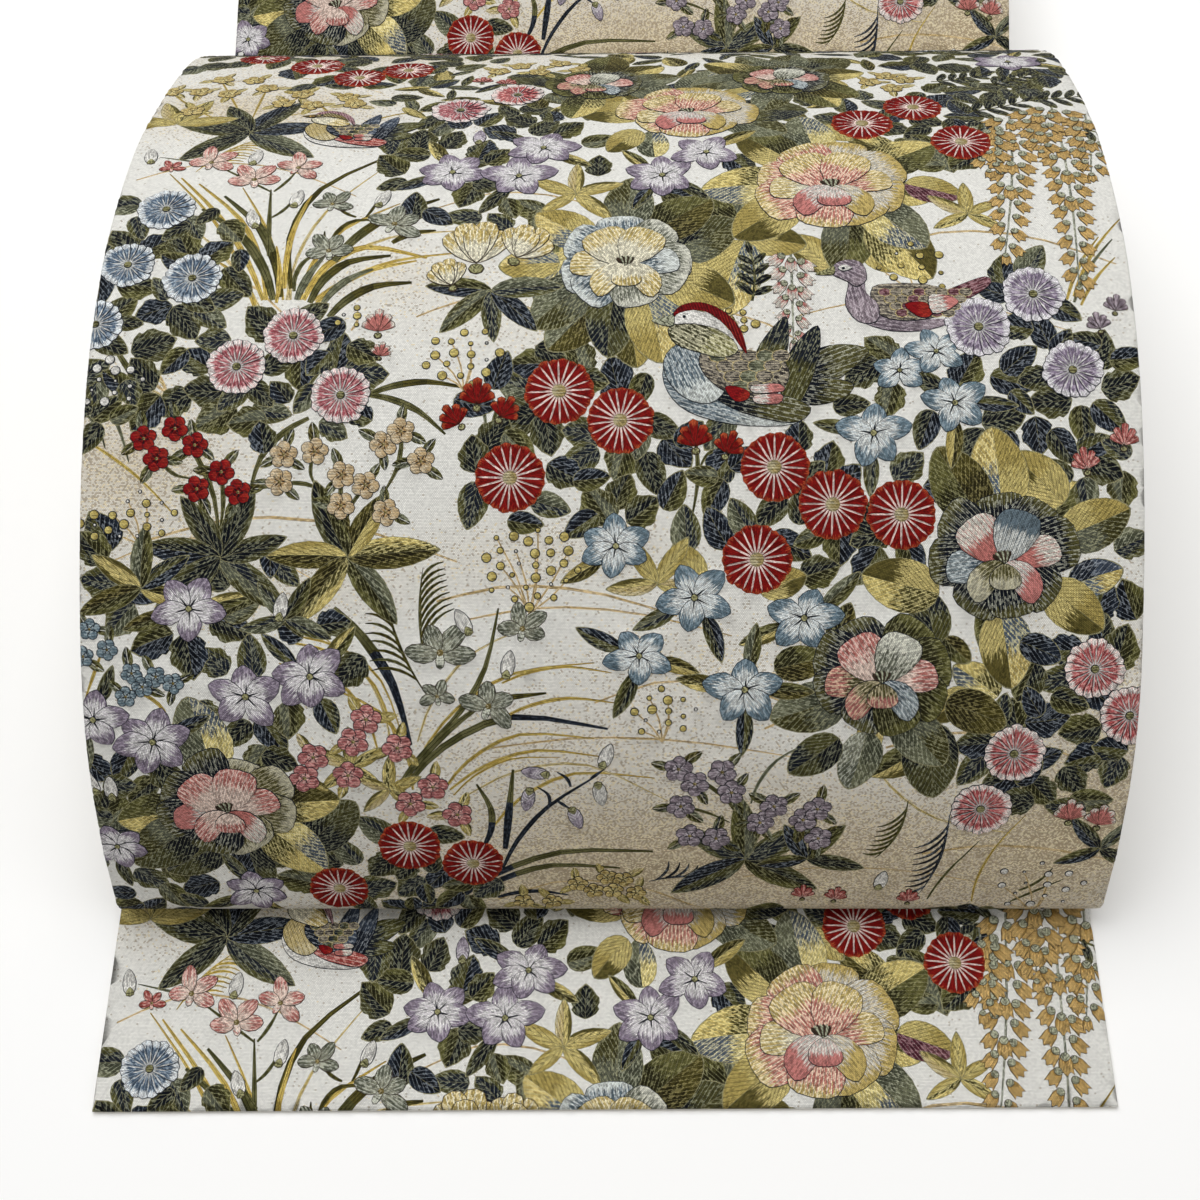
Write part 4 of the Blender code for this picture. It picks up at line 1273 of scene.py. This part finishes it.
def columns(step):
    """Places across the cloth for a grid of points, closer at the selvedges."""
    inner = round((WIDE - 2 * ROUND) / step)
    middle = [ROUND + (WIDE - 2 * ROUND) * k / inner for k in range(1, inner)]
    return list(MARGIN) + middle + [WIDE - m for m in reversed(MARGIN)]


def rows_along(lay, step, cut, most_turn):
    """Places along the cloth for a grid of points, closer at its ends and folds."""
    low_in, high_in = ((MARGIN if real else (0.0, SEAM)) for real in cut)
    rows = [lay.low + m for m in low_in] + [lay.high - m for m in high_in]
    rows += [y for y in lay.grid_heights(step, most_turn)
             if lay.low + low_in[-1] + 0.4 < y < lay.high - high_in[-1] - 0.4]
    return sorted(rows)


def rounding(spots, lay, cut):
    """How far each spot has sunk towards the middle of the cloth, from 0 to 1."""
    x, y = spots[:, 0], spots[:, 1]
    near = 1 - np.clip(np.minimum(x, WIDE - x) / ROUND, 0, 1)
    for end, real in zip((lay.low, lay.high), cut):
        near = np.maximum(near, 1 - np.clip(np.abs(y - end) / (ROUND if real else SEAM), 0, 1))
    return 1 - np.sqrt(1 - near ** 2)


def cut_into_triangles(points, faces):
    """Triangulated plane: its places, its triangles, and the faces over each triangle."""
    done = delaunay_2d_cdt([Vector(p) for p in points], [], faces, 0, 1e-5, True)
    return np.array([tuple(v) for v in done[0]]), np.array(done[2]), done[5]


def woven_mesh(name, lay, shapes, windows, cut, step=4.8, inside_step=14.0, most_turn=9.0,
               fold_step=None):
    """The mesh of one stretch: figured face, plain reverse and rounded edges, as one shell.

    Shapes that reach into a window are cut in; with fold_step, points are closer there."""
    across, along = columns(step), rows_along(lay, step, cut, math.radians(most_turn))
    rim = ([(x, along[0]) for x in across] + [(across[-1], y) for y in along[1:]]
           + [(x, along[-1]) for x in reversed(across[:-1])]
           + [(across[0], y) for y in reversed(along[1:-1])])
    points, faces = list(rim), [list(range(len(rim)))]
    for y in along[1:-1]:
        close = fold_step and any(a < y < b for a, b in windows)
        points += [(x, y) for x in (columns(fold_step) if close else across)[1:-1]]

    owners, numbers = [(-1, False)], []
    for turn in range(-2, 12):
        for spots, inner, facts in shapes:
            low = min(p[1] for p in spots) + turn * REPEAT
            high = max(p[1] for p in spots) + turn * REPEAT
            if not any(high > a and low < b for a, b in windows):
                continue
            if max(p[0] for p in spots) < 0 or min(p[0] for p in spots) > WIDE:
                continue
            for outline, in_band in ((spots, inner is not None), (inner, False)):
                if outline is None:
                    continue
                faces.append(list(range(len(points), len(points) + len(outline))))
                points += [(x, y + turn * REPEAT) for x, y in outline]
                owners.append((len(numbers), in_band))
            numbers.append((facts[0], facts[1] + turn * REPEAT) + tuple(facts[2:]))
    places, triangles, over = cut_into_triangles(points, faces)
    kept = [k for k, ids in enumerate(over) if 0 in ids]
    triangles = triangles[kept]
    top = [max(over[k]) for k in kept]
    owner = np.array([owners[t][0] for t in top])
    band = np.array([owners[t][1] for t in top])

    used = np.unique(triangles)
    renamed = np.full(len(places), -1)
    renamed[used] = np.arange(len(used))
    places, triangles = places[used], renamed[triangles]
    lowest = np.full(len(places), 10 ** 9)
    highest = np.full(len(places), -2)
    for k in range(3):
        np.minimum.at(lowest, triangles[:, k], owner)
        np.maximum.at(highest, triangles[:, k], owner)
    table = np.array(numbers) if numbers else np.zeros((1, FACTS))
    floating = (lowest == highest) & (highest >= 0)
    raised = np.where(floating, table[np.clip(highest, 0, None), LIFT], 0.0)
    sunk = rounding(places, lay, cut)
    top_points = lay.place(places[:, 0], places[:, 1],
                           sunk * ROUND * MM
                           - raised * bpy.context.scene.obi_cloth.float_height * (1 - sunk))

    # the reverse shares the points of the rim
    tiny = 1e-4
    x, y = places[:, 0], places[:, 1]
    sides = ((np.abs(y - lay.low) < tiny, x), (np.abs(x - WIDE) < tiny, y),
             (np.abs(y - lay.high) < tiny, -x), (np.abs(x) < tiny, -y))
    loop = []
    for on_side, order in sides:
        picked = np.nonzero(on_side)[0]
        loop += [int(k) for k in picked[np.argsort(order[picked])]][:-1]
    across = [m for m in columns(inside_step) if m not in (MARGIN[1], WIDE - MARGIN[1])]
    along = rows_along(lay, inside_step, cut, math.radians(most_turn * 1.3))
    back_points = [tuple(places[k]) for k in loop]
    back_points += [(px, py) for py in along[1:-1] for px in across[1:-1]]
    back_places, back_triangles, back_over = cut_into_triangles(
        back_points, [list(range(len(loop)))])
    back_triangles = back_triangles[[k for k, ids in enumerate(back_over) if 0 in ids]]
    to_loop = {(round(places[k][0], 4), round(places[k][1], 4)): k for k in loop}
    rename = []
    extra = []
    for px, py in back_places:
        k = to_loop.get((round(px, 4), round(py, 4)))
        rename.append(len(places) + len(extra) if k is None else k)
        if k is None:
            extra.append((px, py))
    extra = np.array(extra)
    sunk = rounding(extra, lay, cut)
    back = lay.place(extra[:, 0], extra[:, 1], WALL - sunk * ROUND * MM)
    back_triangles = np.array(rename)[back_triangles][:, ::-1]

    mesh = bpy.data.meshes.new(name)
    corners = np.concatenate((triangles, back_triangles))
    mesh.from_pydata(np.concatenate((top_points, back)).tolist(), [], corners.tolist())
    flat = np.concatenate((places, extra))[corners.ravel()]
    face_count, back_count = len(triangles), len(back_triangles)
    paint(mesh, flat, owner, band, table, face_count, back_count)
    # unrolled for baking: the face below, the reverse pressed into what is left above it
    length = lay.high - lay.low
    unrolled = np.stack((flat[:, 0] / WIDE, (flat[:, 1] - lay.low) / length * FACE_SHARE), axis=1)
    unrolled[face_count * 3:, 1] = 0.94 + 0.06 * unrolled[face_count * 3:, 1] / FACE_SHARE
    for title, values in (("cloth", flat), ("OFBake", unrolled)):
        mesh.uv_layers.new(name=title).data.foreach_set("uv", values.astype("f4").ravel())
    mesh.polygons.foreach_set("material_index",
                              np.repeat((0, 1), (face_count, back_count)).astype("i4"))
    mesh.polygons.foreach_set("use_smooth", np.ones(face_count + back_count, bool))
    mesh.update()
    return mesh


def paint(mesh, flat, owner, band, table, face_count, back_count):
    """Store each triangle's silks, and where each corner is within its shape."""
    ground = owner < 0
    facts = table[np.clip(owner, 0, None)]
    silk, edge = facts[:, 14], facts[:, 15]
    silk = np.where(ground, SILK["ground"], silk).astype(int)
    edge = np.where(band & (edge >= 0) & ~ground, edge, silk).astype(int)
    whole = np.concatenate((edge, np.full(back_count, SILK["ground"])))
    for title, code, alpha in (("silk_near", 0, 4), ("silk_far", 1, 5), ("silk_line", 2, 3)):
        colours = np.array([linear(s[code], s[alpha]) for s in SILKS.values()])
        store(mesh, title, "FLOAT_COLOR", "color", np.repeat(colours[whole], 3, axis=0))

    # the corners of the triangles in their shape's own terms
    on_ground = np.repeat(ground, 3)
    x, y = flat[:face_count * 3, 0], flat[:face_count * 3, 1]
    (root_x, root_y, dx, dy, length, bend, start, rise, beside, veins, fine, slant, fan,
     *_, chance) = np.repeat(facts, 3, axis=0).T
    along = ((x - root_x) * dx + (y - root_y) * dy)
    share = along / length
    aside = -(x - root_x) * dy + (y - root_y) * dx - bend * length * share ** 2
    blend = start + rise * share + beside * np.abs(aside)
    vein = (veins * share + fine * aside + slant * np.abs(aside)) / (
        1 + fan * np.clip(share, -0.5, 1.5))
    field = ((haze(x, y), blend), (0, vein), (0, along + 1.3 * np.abs(aside)))
    spot = ((x, along), (y, aside), (-1.0, chance))
    for title, pairs in (("field", field), ("spot", spot)):
        values = np.stack([np.where(on_ground, *pair) for pair in pairs], axis=1)
        store(mesh, title, "FLOAT_VECTOR", "vector",
              np.concatenate((values, np.zeros((back_count * 3, 3)))))


def store(mesh, title, kind, key, values):
    """Keep values for each corner of a mesh."""
    mesh.attributes.new(title, kind, "CORNER").data.foreach_set(key, values.astype("f4").ravel())


# ---------------------------------------------------------------- shader node groups
class Nodes:
    """Short hand for building a node tree."""

    def __init__(self, tree):
        self.tree = tree

    def add(self, kind, *values, **settings):
        """A node with its settings; values go to its inputs in order, links or numbers."""
        node = self.tree.nodes.new(kind)
        for key, value in settings.items():
            setattr(node, key, value)
        for k, value in enumerate(values):
            if value is not None:
                self.join(value, node.inputs[k])
        return node

    def join(self, value, socket):
        """Link a socket, or set a plain value."""
        if isinstance(value, bpy.types.NodeSocket):
            self.tree.links.new(value, socket)
        else:
            socket.default_value = value

    def math(self, operation, *values):
        """Result of a Math node."""
        return self.add("ShaderNodeMath", *values, operation=operation).outputs[0]

    def plus(self, first, second):
        """Sum of two."""
        return self.math("ADD", first, second)

    def minus(self, first, second):
        """Difference of two."""
        return self.math("SUBTRACT", first, second)

    def times(self, first, second):
        """Product of two."""
        return self.math("MULTIPLY", first, second)

    def off_middle(self, value):
        """How far a number is from the middle between two whole ones."""
        return self.math("ABSOLUTE", self.minus(self.math("FRACT", value), 0.5))

    def xyz(self, *values):
        """Vector of numbers, or with one value the numbers of a vector."""
        if len(values) == 1:
            return self.add("ShaderNodeSeparateXYZ", *values).outputs
        return self.add("ShaderNodeCombineXYZ", *values).outputs[0]

    def filled(self, kind, values, **settings):
        """A node whose named inputs are given."""
        node = self.add(kind, **settings)
        for title, value in values.items():
            self.join(value, node.inputs[title])
        return node.outputs

    def mix(self, share, first, second):
        """Colour between two."""
        node = self.add("ShaderNodeMix", data_type="RGBA")
        for value, index in ((share, 0), (first, 6), (second, 7)):
            self.join(value, node.inputs[index])
        return node.outputs[2]

    def between(self, share, first, second):
        """Number between two."""
        return self.add("ShaderNodeMix", share, None, first, second).outputs[0]

    def step(self, value, low, high):
        """0 below low, 1 above high, smooth between."""
        node = self.add("ShaderNodeMapRange", interpolation_type="SMOOTHSTEP")
        for k, number in enumerate((value, low, high, 0.0, 1.0)):
            self.join(number, node.inputs[k])
        return node.outputs[0]


def node_group(name, inputs, outputs):
    """An empty shader group with named sockets; each is (name, type, default)."""
    group = bpy.data.node_groups.new(name, "ShaderNodeTree")
    for title, kind, default in inputs:
        made = group.interface.new_socket(name=title, in_out="INPUT", socket_type=kind)
        if default is not None:
            made.default_value = default
    for title, kind in outputs:
        group.interface.new_socket(name=title, in_out="OUTPUT", socket_type=kind)
    nodes = Nodes(group)
    return group, nodes, nodes.add("NodeGroupInput"), nodes.add("NodeGroupOutput")


def ground_weave():
    """Rows of short stitches, offset like bricks, from millimetres of cloth."""
    group, n, given, put = node_group(
        "Ground Weave",
        (("Cloth", "NodeSocketVector", None), ("Pitch", "NodeSocketFloat", 0.42)),
        (("Tone", "NodeSocketFloat"), ("Height", "NodeSocketFloat"),
         ("Chance", "NodeSocketFloat"), ("Hue", "NodeSocketFloat")))
    x, y, _ = n.xyz(given.outputs["Cloth"])
    pitch = given.outputs["Pitch"]
    row = n.math("DIVIDE", y, pitch)
    line = n.math("FLOOR", row)
    place = n.plus(n.math("DIVIDE", x, n.times(pitch, 1.3)), n.times(line, 0.5))
    brick = n.xyz(n.math("FLOOR", place), line, 0.0)
    chance, colour = n.add("ShaderNodeTexWhiteNoise", brick, noise_dimensions="2D").outputs
    # the gaps between stitches and rows: low in Height for the bumps, and darker in Tone and
    # Height where these colour the cloth, as painted shade between threads
    gap = n.math("MAXIMUM", n.step(n.off_middle(row), 0.25, 0.5),
                 n.step(n.off_middle(place), 0.30, 0.5))
    height = n.minus(1.0, gap)
    n.join(height, put.inputs["Height"])
    n.join(n.plus(n.times(height, 0.5), n.times(chance, 0.5)), put.inputs["Tone"])
    n.join(chance, put.inputs["Chance"])
    n.join(n.add("ShaderNodeSeparateColor", colour).outputs[1], put.inputs["Hue"])
    return group


def silk_blend():
    """Share of the second silk: a hard-edged mixing of threads along a shape."""
    group, n, given, put = node_group(
        "Silk Blend",
        (("Field", "NodeSocketVector", None), ("Spot", "NodeSocketVector", None)),
        (("Share", "NodeSocketFloat"), ("Line", "NodeSocketFloat"),
         ("Ground", "NodeSocketFloat"), ("Tone", "NodeSocketFloat"),
         ("Chance", "NodeSocketFloat")))
    blend, phase, way = n.xyz(given.outputs["Field"])
    along, aside, own = n.xyz(given.outputs["Spot"])
    n.join(n.math("LESS_THAN", own, -0.5), put.inputs["Ground"])
    # threads of a petal run along it
    thread = n.xyz(n.times(along, 0.30), n.times(aside, 2.8), n.times(own, 37.0))
    streak = n.filled("ShaderNodeTexNoise", {"Vector": thread, "Scale": 1.0, "Detail": 1.0,
                                             "Roughness": 0.5})[0]
    toothed = n.plus(blend, n.times(n.minus(streak, 0.5), 1.1))
    n.join(n.step(toothed, 0.40, 0.60), put.inputs["Share"])
    # veins, broken into stitches
    stitch = n.math("FRACT", n.plus(n.times(way, 0.75), n.times(n.math("FLOOR", phase), 0.43)))
    broken = n.math("GREATER_THAN", stitch, 0.72)
    n.join(n.plus(n.times(n.minus(0.5, n.off_middle(phase)), 2.0), broken), put.inputs["Line"])
    # each stitch is a short cell of its own random tone, darker towards its edges as painted shade
    # between neighbouring stitches
    lane = n.times(aside, 2.2)
    beat = n.plus(n.times(along, 1.1), n.times(n.math("FLOOR", lane), 0.37))
    cell = n.xyz(n.math("FLOOR", beat), n.math("FLOOR", lane), n.times(own, 53.0))
    chance = n.add("ShaderNodeTexWhiteNoise", cell, noise_dimensions="3D").outputs[0]
    edge = n.math("MAXIMUM", n.step(n.off_middle(lane), 0.22, 0.5),
                  n.step(n.off_middle(beat), 0.38, 0.5))
    n.join(n.plus(n.times(n.minus(1.0, edge), 0.45), n.times(chance, 0.55)), put.inputs["Tone"])
    n.join(chance, put.inputs["Chance"])
    return group


def new_material(name):
    """A material, the builder of its nodes and its shader."""
    material = bpy.data.materials.new(name)
    material.use_nodes = True
    return material, Nodes(material.node_tree), material.node_tree.nodes["Principled BSDF"]


def ground_threads(n, pitch):
    """The ground weave laid over the cloth's own millimetres."""
    cloth = n.add("ShaderNodeUVMap", uv_map="cloth").outputs[0]
    return n.filled("ShaderNodeGroup", {"Cloth": cloth, "Pitch": pitch},
                    node_tree=bpy.data.node_groups["Ground Weave"])


def brocade_finish():
    """Silk and gold threads over a pale ground."""
    wanted = bpy.context.scene.obi_cloth
    material, n, shader = new_material("silk_brocade")
    weave = ground_threads(n, wanted.thread_pitch)
    near, far, line, field, spot = (
        n.add("ShaderNodeAttribute", attribute_name=title).outputs
        for title in ("silk_near", "silk_far", "silk_line", "field", "spot"))
    blend = n.filled("ShaderNodeGroup", {"Field": field["Vector"], "Spot": spot["Vector"]},
                     node_tree=bpy.data.node_groups["Silk Blend"])
    share, ground = blend["Share"], blend["Ground"]
    silk = n.mix(share, near["Color"], far["Color"])
    vein = n.math("LESS_THAN", blend["Line"], line["Alpha"])
    silk = n.mix(vein, silk, line["Color"])
    # painted glints: a random few stitches lightened towards the line colour as painted highlights
    glint = n.math("GREATER_THAN", blend["Chance"], n.minus(1.0, n.times(line["Alpha"], 1.5)))
    silk = n.mix(n.times(glint, 0.38), silk, line["Color"])
    # the ground's warm haze is thinner or thicker specks on a tinted ground
    warm = n.xyz(field["Vector"])[0]
    plain = n.mix(warm, tuple(wanted.ground_colour), tuple(wanted.haze_colour))
    speck = n.mix(weave["Hue"], tuple(wanted.speckle_colour), linear("B8A27E"))
    dense = n.plus(0.008, n.times(warm, 0.62))
    speck = n.mix(0.6, plain, speck)
    plain = n.mix(n.math("LESS_THAN", weave["Chance"], dense), plain, speck)
    bright = n.math("GREATER_THAN", weave["Chance"], n.minus(1.0, n.times(warm, 0.30)))
    plain = n.mix(bright, plain, linear("E0D3B2"))
    colour = n.mix(ground, silk, plain)
    # thread to thread changes of tone: random per stitch, and darker in the gaps between stitches
    # and rows as painted shade
    deep = n.math("POWER", blend["Tone"], 1.7)
    own = n.plus(0.03, n.plus(n.times(deep, 1.60), n.times(weave["Tone"], 0.30)))
    own = n.math("MINIMUM", own, 1.25)
    weft_tone_and_shade = n.plus(0.48, n.plus(n.times(weave["Height"], 0.46), n.times(weave["Chance"], 0.20)))
    colour = n.filled("ShaderNodeVectorMath", {"Vector": colour,
                                               "Scale": n.between(ground, own, weft_tone_and_shade)},
                      operation="SCALE")[0]
    gold = n.between(share, near["Alpha"], far["Alpha"])
    gold = n.times(gold, n.minus(1.0, ground))
    height = n.between(ground, blend["Tone"], weave["Height"])
    finish(n, shader, {"Base Color": colour, "Metallic": n.times(gold, 0.45),
                       "Roughness": n.minus(0.68, n.times(gold, 0.26)),
                       "Specular IOR Level": 0.08}, height, 0.40, 0.00035)
    return material


def reverse_finish():
    """The plain inner face."""
    material, n, shader = new_material("plain_reverse")
    weave = ground_threads(n, 0.5)
    # lighter and darker threads at random, darker in the gaps between them as painted shade
    tone = n.step(weave["Tone"], 0.2, 0.8)
    finish(n, shader, {"Base Color": n.mix(tone, linear("C9C0AC"), linear("DCD5C4")),
                       "Roughness": n.minus(0.82, n.times(tone, 0.12)),
                       "Sheen Weight": 0.1}, weave["Height"], 0.3, 0.0003)
    return material


def finish(n, shader, values, height, strength, distance):
    """Give a shader its values, and bumps of a height."""
    bump = n.filled("ShaderNodeBump", {"Strength": strength, "Distance": distance,
                                       "Height": height})
    for title, value in (*values.items(), ("Normal", bump[0])):
        n.join(value, shader.inputs[title])


def rest_lay(bottom):
    """The rest of the sash, folded to and fro from under the upper run down to its cut end."""
    sections = []
    for layer in range(LAYERS - 1, -1, -1):
        forward = layer % 2 == 1           # this layer runs towards the front, face down
        drift = STACK_DRIFT + LAYER_SHIFT[layer]
        height = layer * LAYER_PITCH + GAP + (0.0 if forward else WALL)
        inner, outer = (LAYER_PITCH - WALL) / 2, (LAYER_PITCH + WALL) / 2
        front = STACK_FRONT + inner + WALL + (TOP_FOLD_BACK if layer >= LAYERS - 2 else 0.0)
        back = STACK_BACK - outer
        if layer in (0, LAYERS - 1):
            back = RUN_ROWS[-1][0] - (2 * GAP if layer == 0 else 0.0)
        ends = (back, front) if forward else (front, back)
        sections += [(ends[0] + (ends[1] - ends[0]) * k / 40, height, drift, 0.0)
                     for k in range(0 if layer == LAYERS - 1 else 1, 41)]
        if layer:
            under = STACK_DRIFT + (LAYER_SHIFT[layer] + LAYER_SHIFT[layer - 1]) / 2
            radius = inner if forward else outer
            stop = 270 if forward else -90
            sections += arc((ends[1], height - radius), radius, 90, stop, under, 0.0)
    return Lay(sections, -1, bottom, 1)


# ---------------------------------------------------------------- add-on classes
LENS = 49.5            # millimetres, for a sensor 36 across
CAMERA_SPOT = (-0.0060, -0.4162, 0.5117)
CAMERA_TILT = 28.95    # degrees up from straight down
LAMPS = (
    # name, place, turn in degrees, size, share of the power
    ("key_light", (-0.25, 0.35, 1.5), (-14, -10, 0), 1.3, 1.0),
    ("side_light", (1.2, -0.5, 1.0), (30, 48, 0), 0.9, 0.12),
)


def finish_named(name, make):
    """A material, made the first time it is asked for."""
    return bpy.data.materials.get(name) or make()


def lay_down(name, lay, windows, cut, node, held, rests_on, **steps):
    mesh = woven_mesh(name, lay, pattern(), windows, cut, **steps)
    mesh.materials.append(finish_named("silk_brocade", brocade_finish))
    mesh.materials.append(finish_named("plain_reverse", reverse_finish))
    piece = bpy.data.objects.new(name, mesh)
    bpy.context.scene.collection.objects.link(piece)
    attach(piece, "root")
    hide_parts(node)
    return {"FINISHED"}


class ObiClothSettings(bpy.types.PropertyGroup):
    """Sizes and colours of the cloth."""

    float_height: bpy.props.FloatProperty(
        name="Float height", description="How far the silk floats stand off the ground",
        default=PROUD, min=0.0, max=0.001, subtype="DISTANCE", unit="LENGTH", precision=5)
    thread_pitch: bpy.props.FloatProperty(
        name="Thread pitch", description="Spacing of the ground's rows, in millimetres",
        default=0.42, min=0.2, max=2.0)
    ground_colour: bpy.props.FloatVectorProperty(
        name="Ground", description="Colour of the plain ground", size=4, min=0.0, max=1.0,
        default=linear(SILKS["ground"][0]), subtype="COLOR")
    haze_colour: bpy.props.FloatVectorProperty(
        name="Haze", description="Colour of the ground where it is warmest", size=4, min=0.0,
        max=1.0, default=linear(SILKS["ground"][1]), subtype="COLOR")
    speckle_colour: bpy.props.FloatVectorProperty(
        name="Speckle", description="Colour of the specks on the ground", size=4, min=0.0,
        max=1.0, default=linear("94846A"), subtype="COLOR")


class ObiStudioSettings(bpy.types.PropertyGroup):
    """The stage round the sash."""

    floor_colour: bpy.props.FloatVectorProperty(
        name="Floor", description="Colour of the floor", size=4, min=0.0, max=1.0,
        default=(0.985, 0.985, 0.98, 1.0), subtype="COLOR")
    key_power: bpy.props.FloatProperty(
        name="Key light", description="Power of the large light overhead", default=21.0,
        min=0.0, max=500.0, unit="POWER")
    fill_strength: bpy.props.FloatProperty(
        name="Surroundings", description="Brightness of the light from all round",
        default=0.35, min=0.0, max=5.0)


class OBI_OT_weave_tail(bpy.types.Operator):
    """Weave the flat tail in front of the drum."""

    bl_idname = "obi.weave_tail"
    bl_label = "Weave tail end"

    def execute(self, context):
        lay = tail_lay(drum_lay().low)
        return lay_down("tail_cloth", lay, ((lay.low, lay.low + 100),), (True, False),
                        "tail_end", "laid", [])


class OBI_OT_weave_drum(bpy.types.Operator):
    """Weave the drum's arch."""

    bl_idname = "obi.weave_drum"
    bl_label = "Weave drum"

    def execute(self, context):
        lay = drum_lay()
        return lay_down("drum_cloth", lay, ((-18.0, lay.high),), (False, False),
                        "drum", "folded", ["tail_cloth"])


class OBI_OT_weave_upper_run(bpy.types.Operator):
    """Weave the stretch that lies on the folded rest."""

    bl_idname = "obi.weave_upper_run"
    bl_label = "Weave upper run"

    def execute(self, context):
        lay = run_lay(drum_lay().high)
        return lay_down("upper_cloth", lay, ((lay.low, lay.high),), (False, False),
                        "upper_run", "laid", ["rest_cloth"])


class OBI_OT_fold_rest(bpy.types.Operator):
    """Fold the rest of the sash to and fro, down to its cut end."""

    bl_idname = "obi.fold_rest"
    bl_label = "Fold the rest"

    def execute(self, context):
        lay = rest_lay(run_lay(drum_lay().high).high)
        # the face shows on the outside of the back folds
        shown = lay.rows[:, 0] > STACK_BACK - (LAYER_PITCH + WALL) / 2 + 1e-6
        windows = [(y - 1.0, y + 1.0) for y in lay.heights[shown]]
        return lay_down("rest_cloth", lay, windows, (False, True), "folded_rest", "folded", [],
                        step=18.0, inside_step=18.0, most_turn=12.0, fold_step=2.4)


class OBI_OT_studio(bpy.types.Operator):
    """Set the floor, the lights and the camera."""

    bl_idname = "obi.studio"
    bl_label = "Set the stage"

    def execute(self, context):
        wanted = context.scene.obi_studio
        scene = context.scene
        bpy.ops.object.select_all(action="DESELECT")
        bpy.ops.mesh.primitive_plane_add(size=12.0, location=(0.0, 0.0, -0.0002))
        floor = context.active_object
        floor.name = "floor"
        paper, _, shader = new_material("floor_paper")
        shader.inputs["Base Color"].default_value = wanted.floor_colour
        shader.inputs["Roughness"].default_value = 0.9
        floor.data.materials.append(paper)

        world = bpy.data.worlds.new("surroundings")
        world.use_nodes = True
        sky = world.node_tree.nodes["Background"]
        sky.inputs["Color"].default_value = (1.0, 0.99, 0.97, 1.0)
        sky.inputs["Strength"].default_value = wanted.fill_strength
        scene.world = world
        for name, spot, turn, size, share in LAMPS:
            lamp = bpy.data.lights.new(name, "AREA")
            lamp.shape, lamp.size = "SQUARE", size
            lamp.energy = wanted.key_power * share
            made = bpy.data.objects.new(name, lamp)
            made.location = spot
            made.rotation_euler = [math.radians(a) for a in turn]
            scene.collection.objects.link(made)

        lens = bpy.data.cameras.new("camera")
        lens.lens, lens.sensor_width = LENS, 36.0
        camera = bpy.data.objects.new("camera", lens)
        camera.location = CAMERA_SPOT
        camera.rotation_euler = (math.radians(CAMERA_TILT), 0.0, 0.0)
        scene.collection.objects.link(camera)
        scene.camera = camera
        scene.view_settings.view_transform = "Standard"
        return {"FINISHED"}


class OBI_PT_dresser(bpy.types.Panel):
    """The steps, in order, with their settings."""

    bl_label = "Obi sash"
    bl_idname = "OBI_PT_dresser"
    bl_space_type = "VIEW_3D"
    bl_region_type = "UI"
    bl_category = "Obi"

    def draw(self, context):
        for group in (context.scene.obi_cloth, context.scene.obi_studio):
            box = self.layout.box()
            for name in group.bl_rna.properties.keys():
                if name not in ("rna_type", "name"):
                    box.prop(group, name)
        for step in STEPS:
            self.layout.operator(step.bl_idname)


STEPS = (OBI_OT_fold_rest, OBI_OT_weave_upper_run, OBI_OT_weave_tail, OBI_OT_weave_drum,
         OBI_OT_studio)
CLASSES = (ObiClothSettings, ObiStudioSettings) + STEPS + (OBI_PT_dresser,)


def register():
    for made in CLASSES:
        bpy.utils.register_class(made)
    bpy.types.Scene.obi_cloth = bpy.props.PointerProperty(type=ObiClothSettings)
    bpy.types.Scene.obi_studio = bpy.props.PointerProperty(type=ObiStudioSettings)


def unregister():
    del bpy.types.Scene.obi_cloth
    del bpy.types.Scene.obi_studio
    for made in reversed(CLASSES):
        bpy.utils.unregister_class(made)


def main():
    register()
    ground_weave()
    silk_blend()
    for step in STEPS:
        prefix, name = step.bl_idname.split(".")
        getattr(getattr(bpy.ops, prefix), name)()


if __name__ == "__main__":
    main()
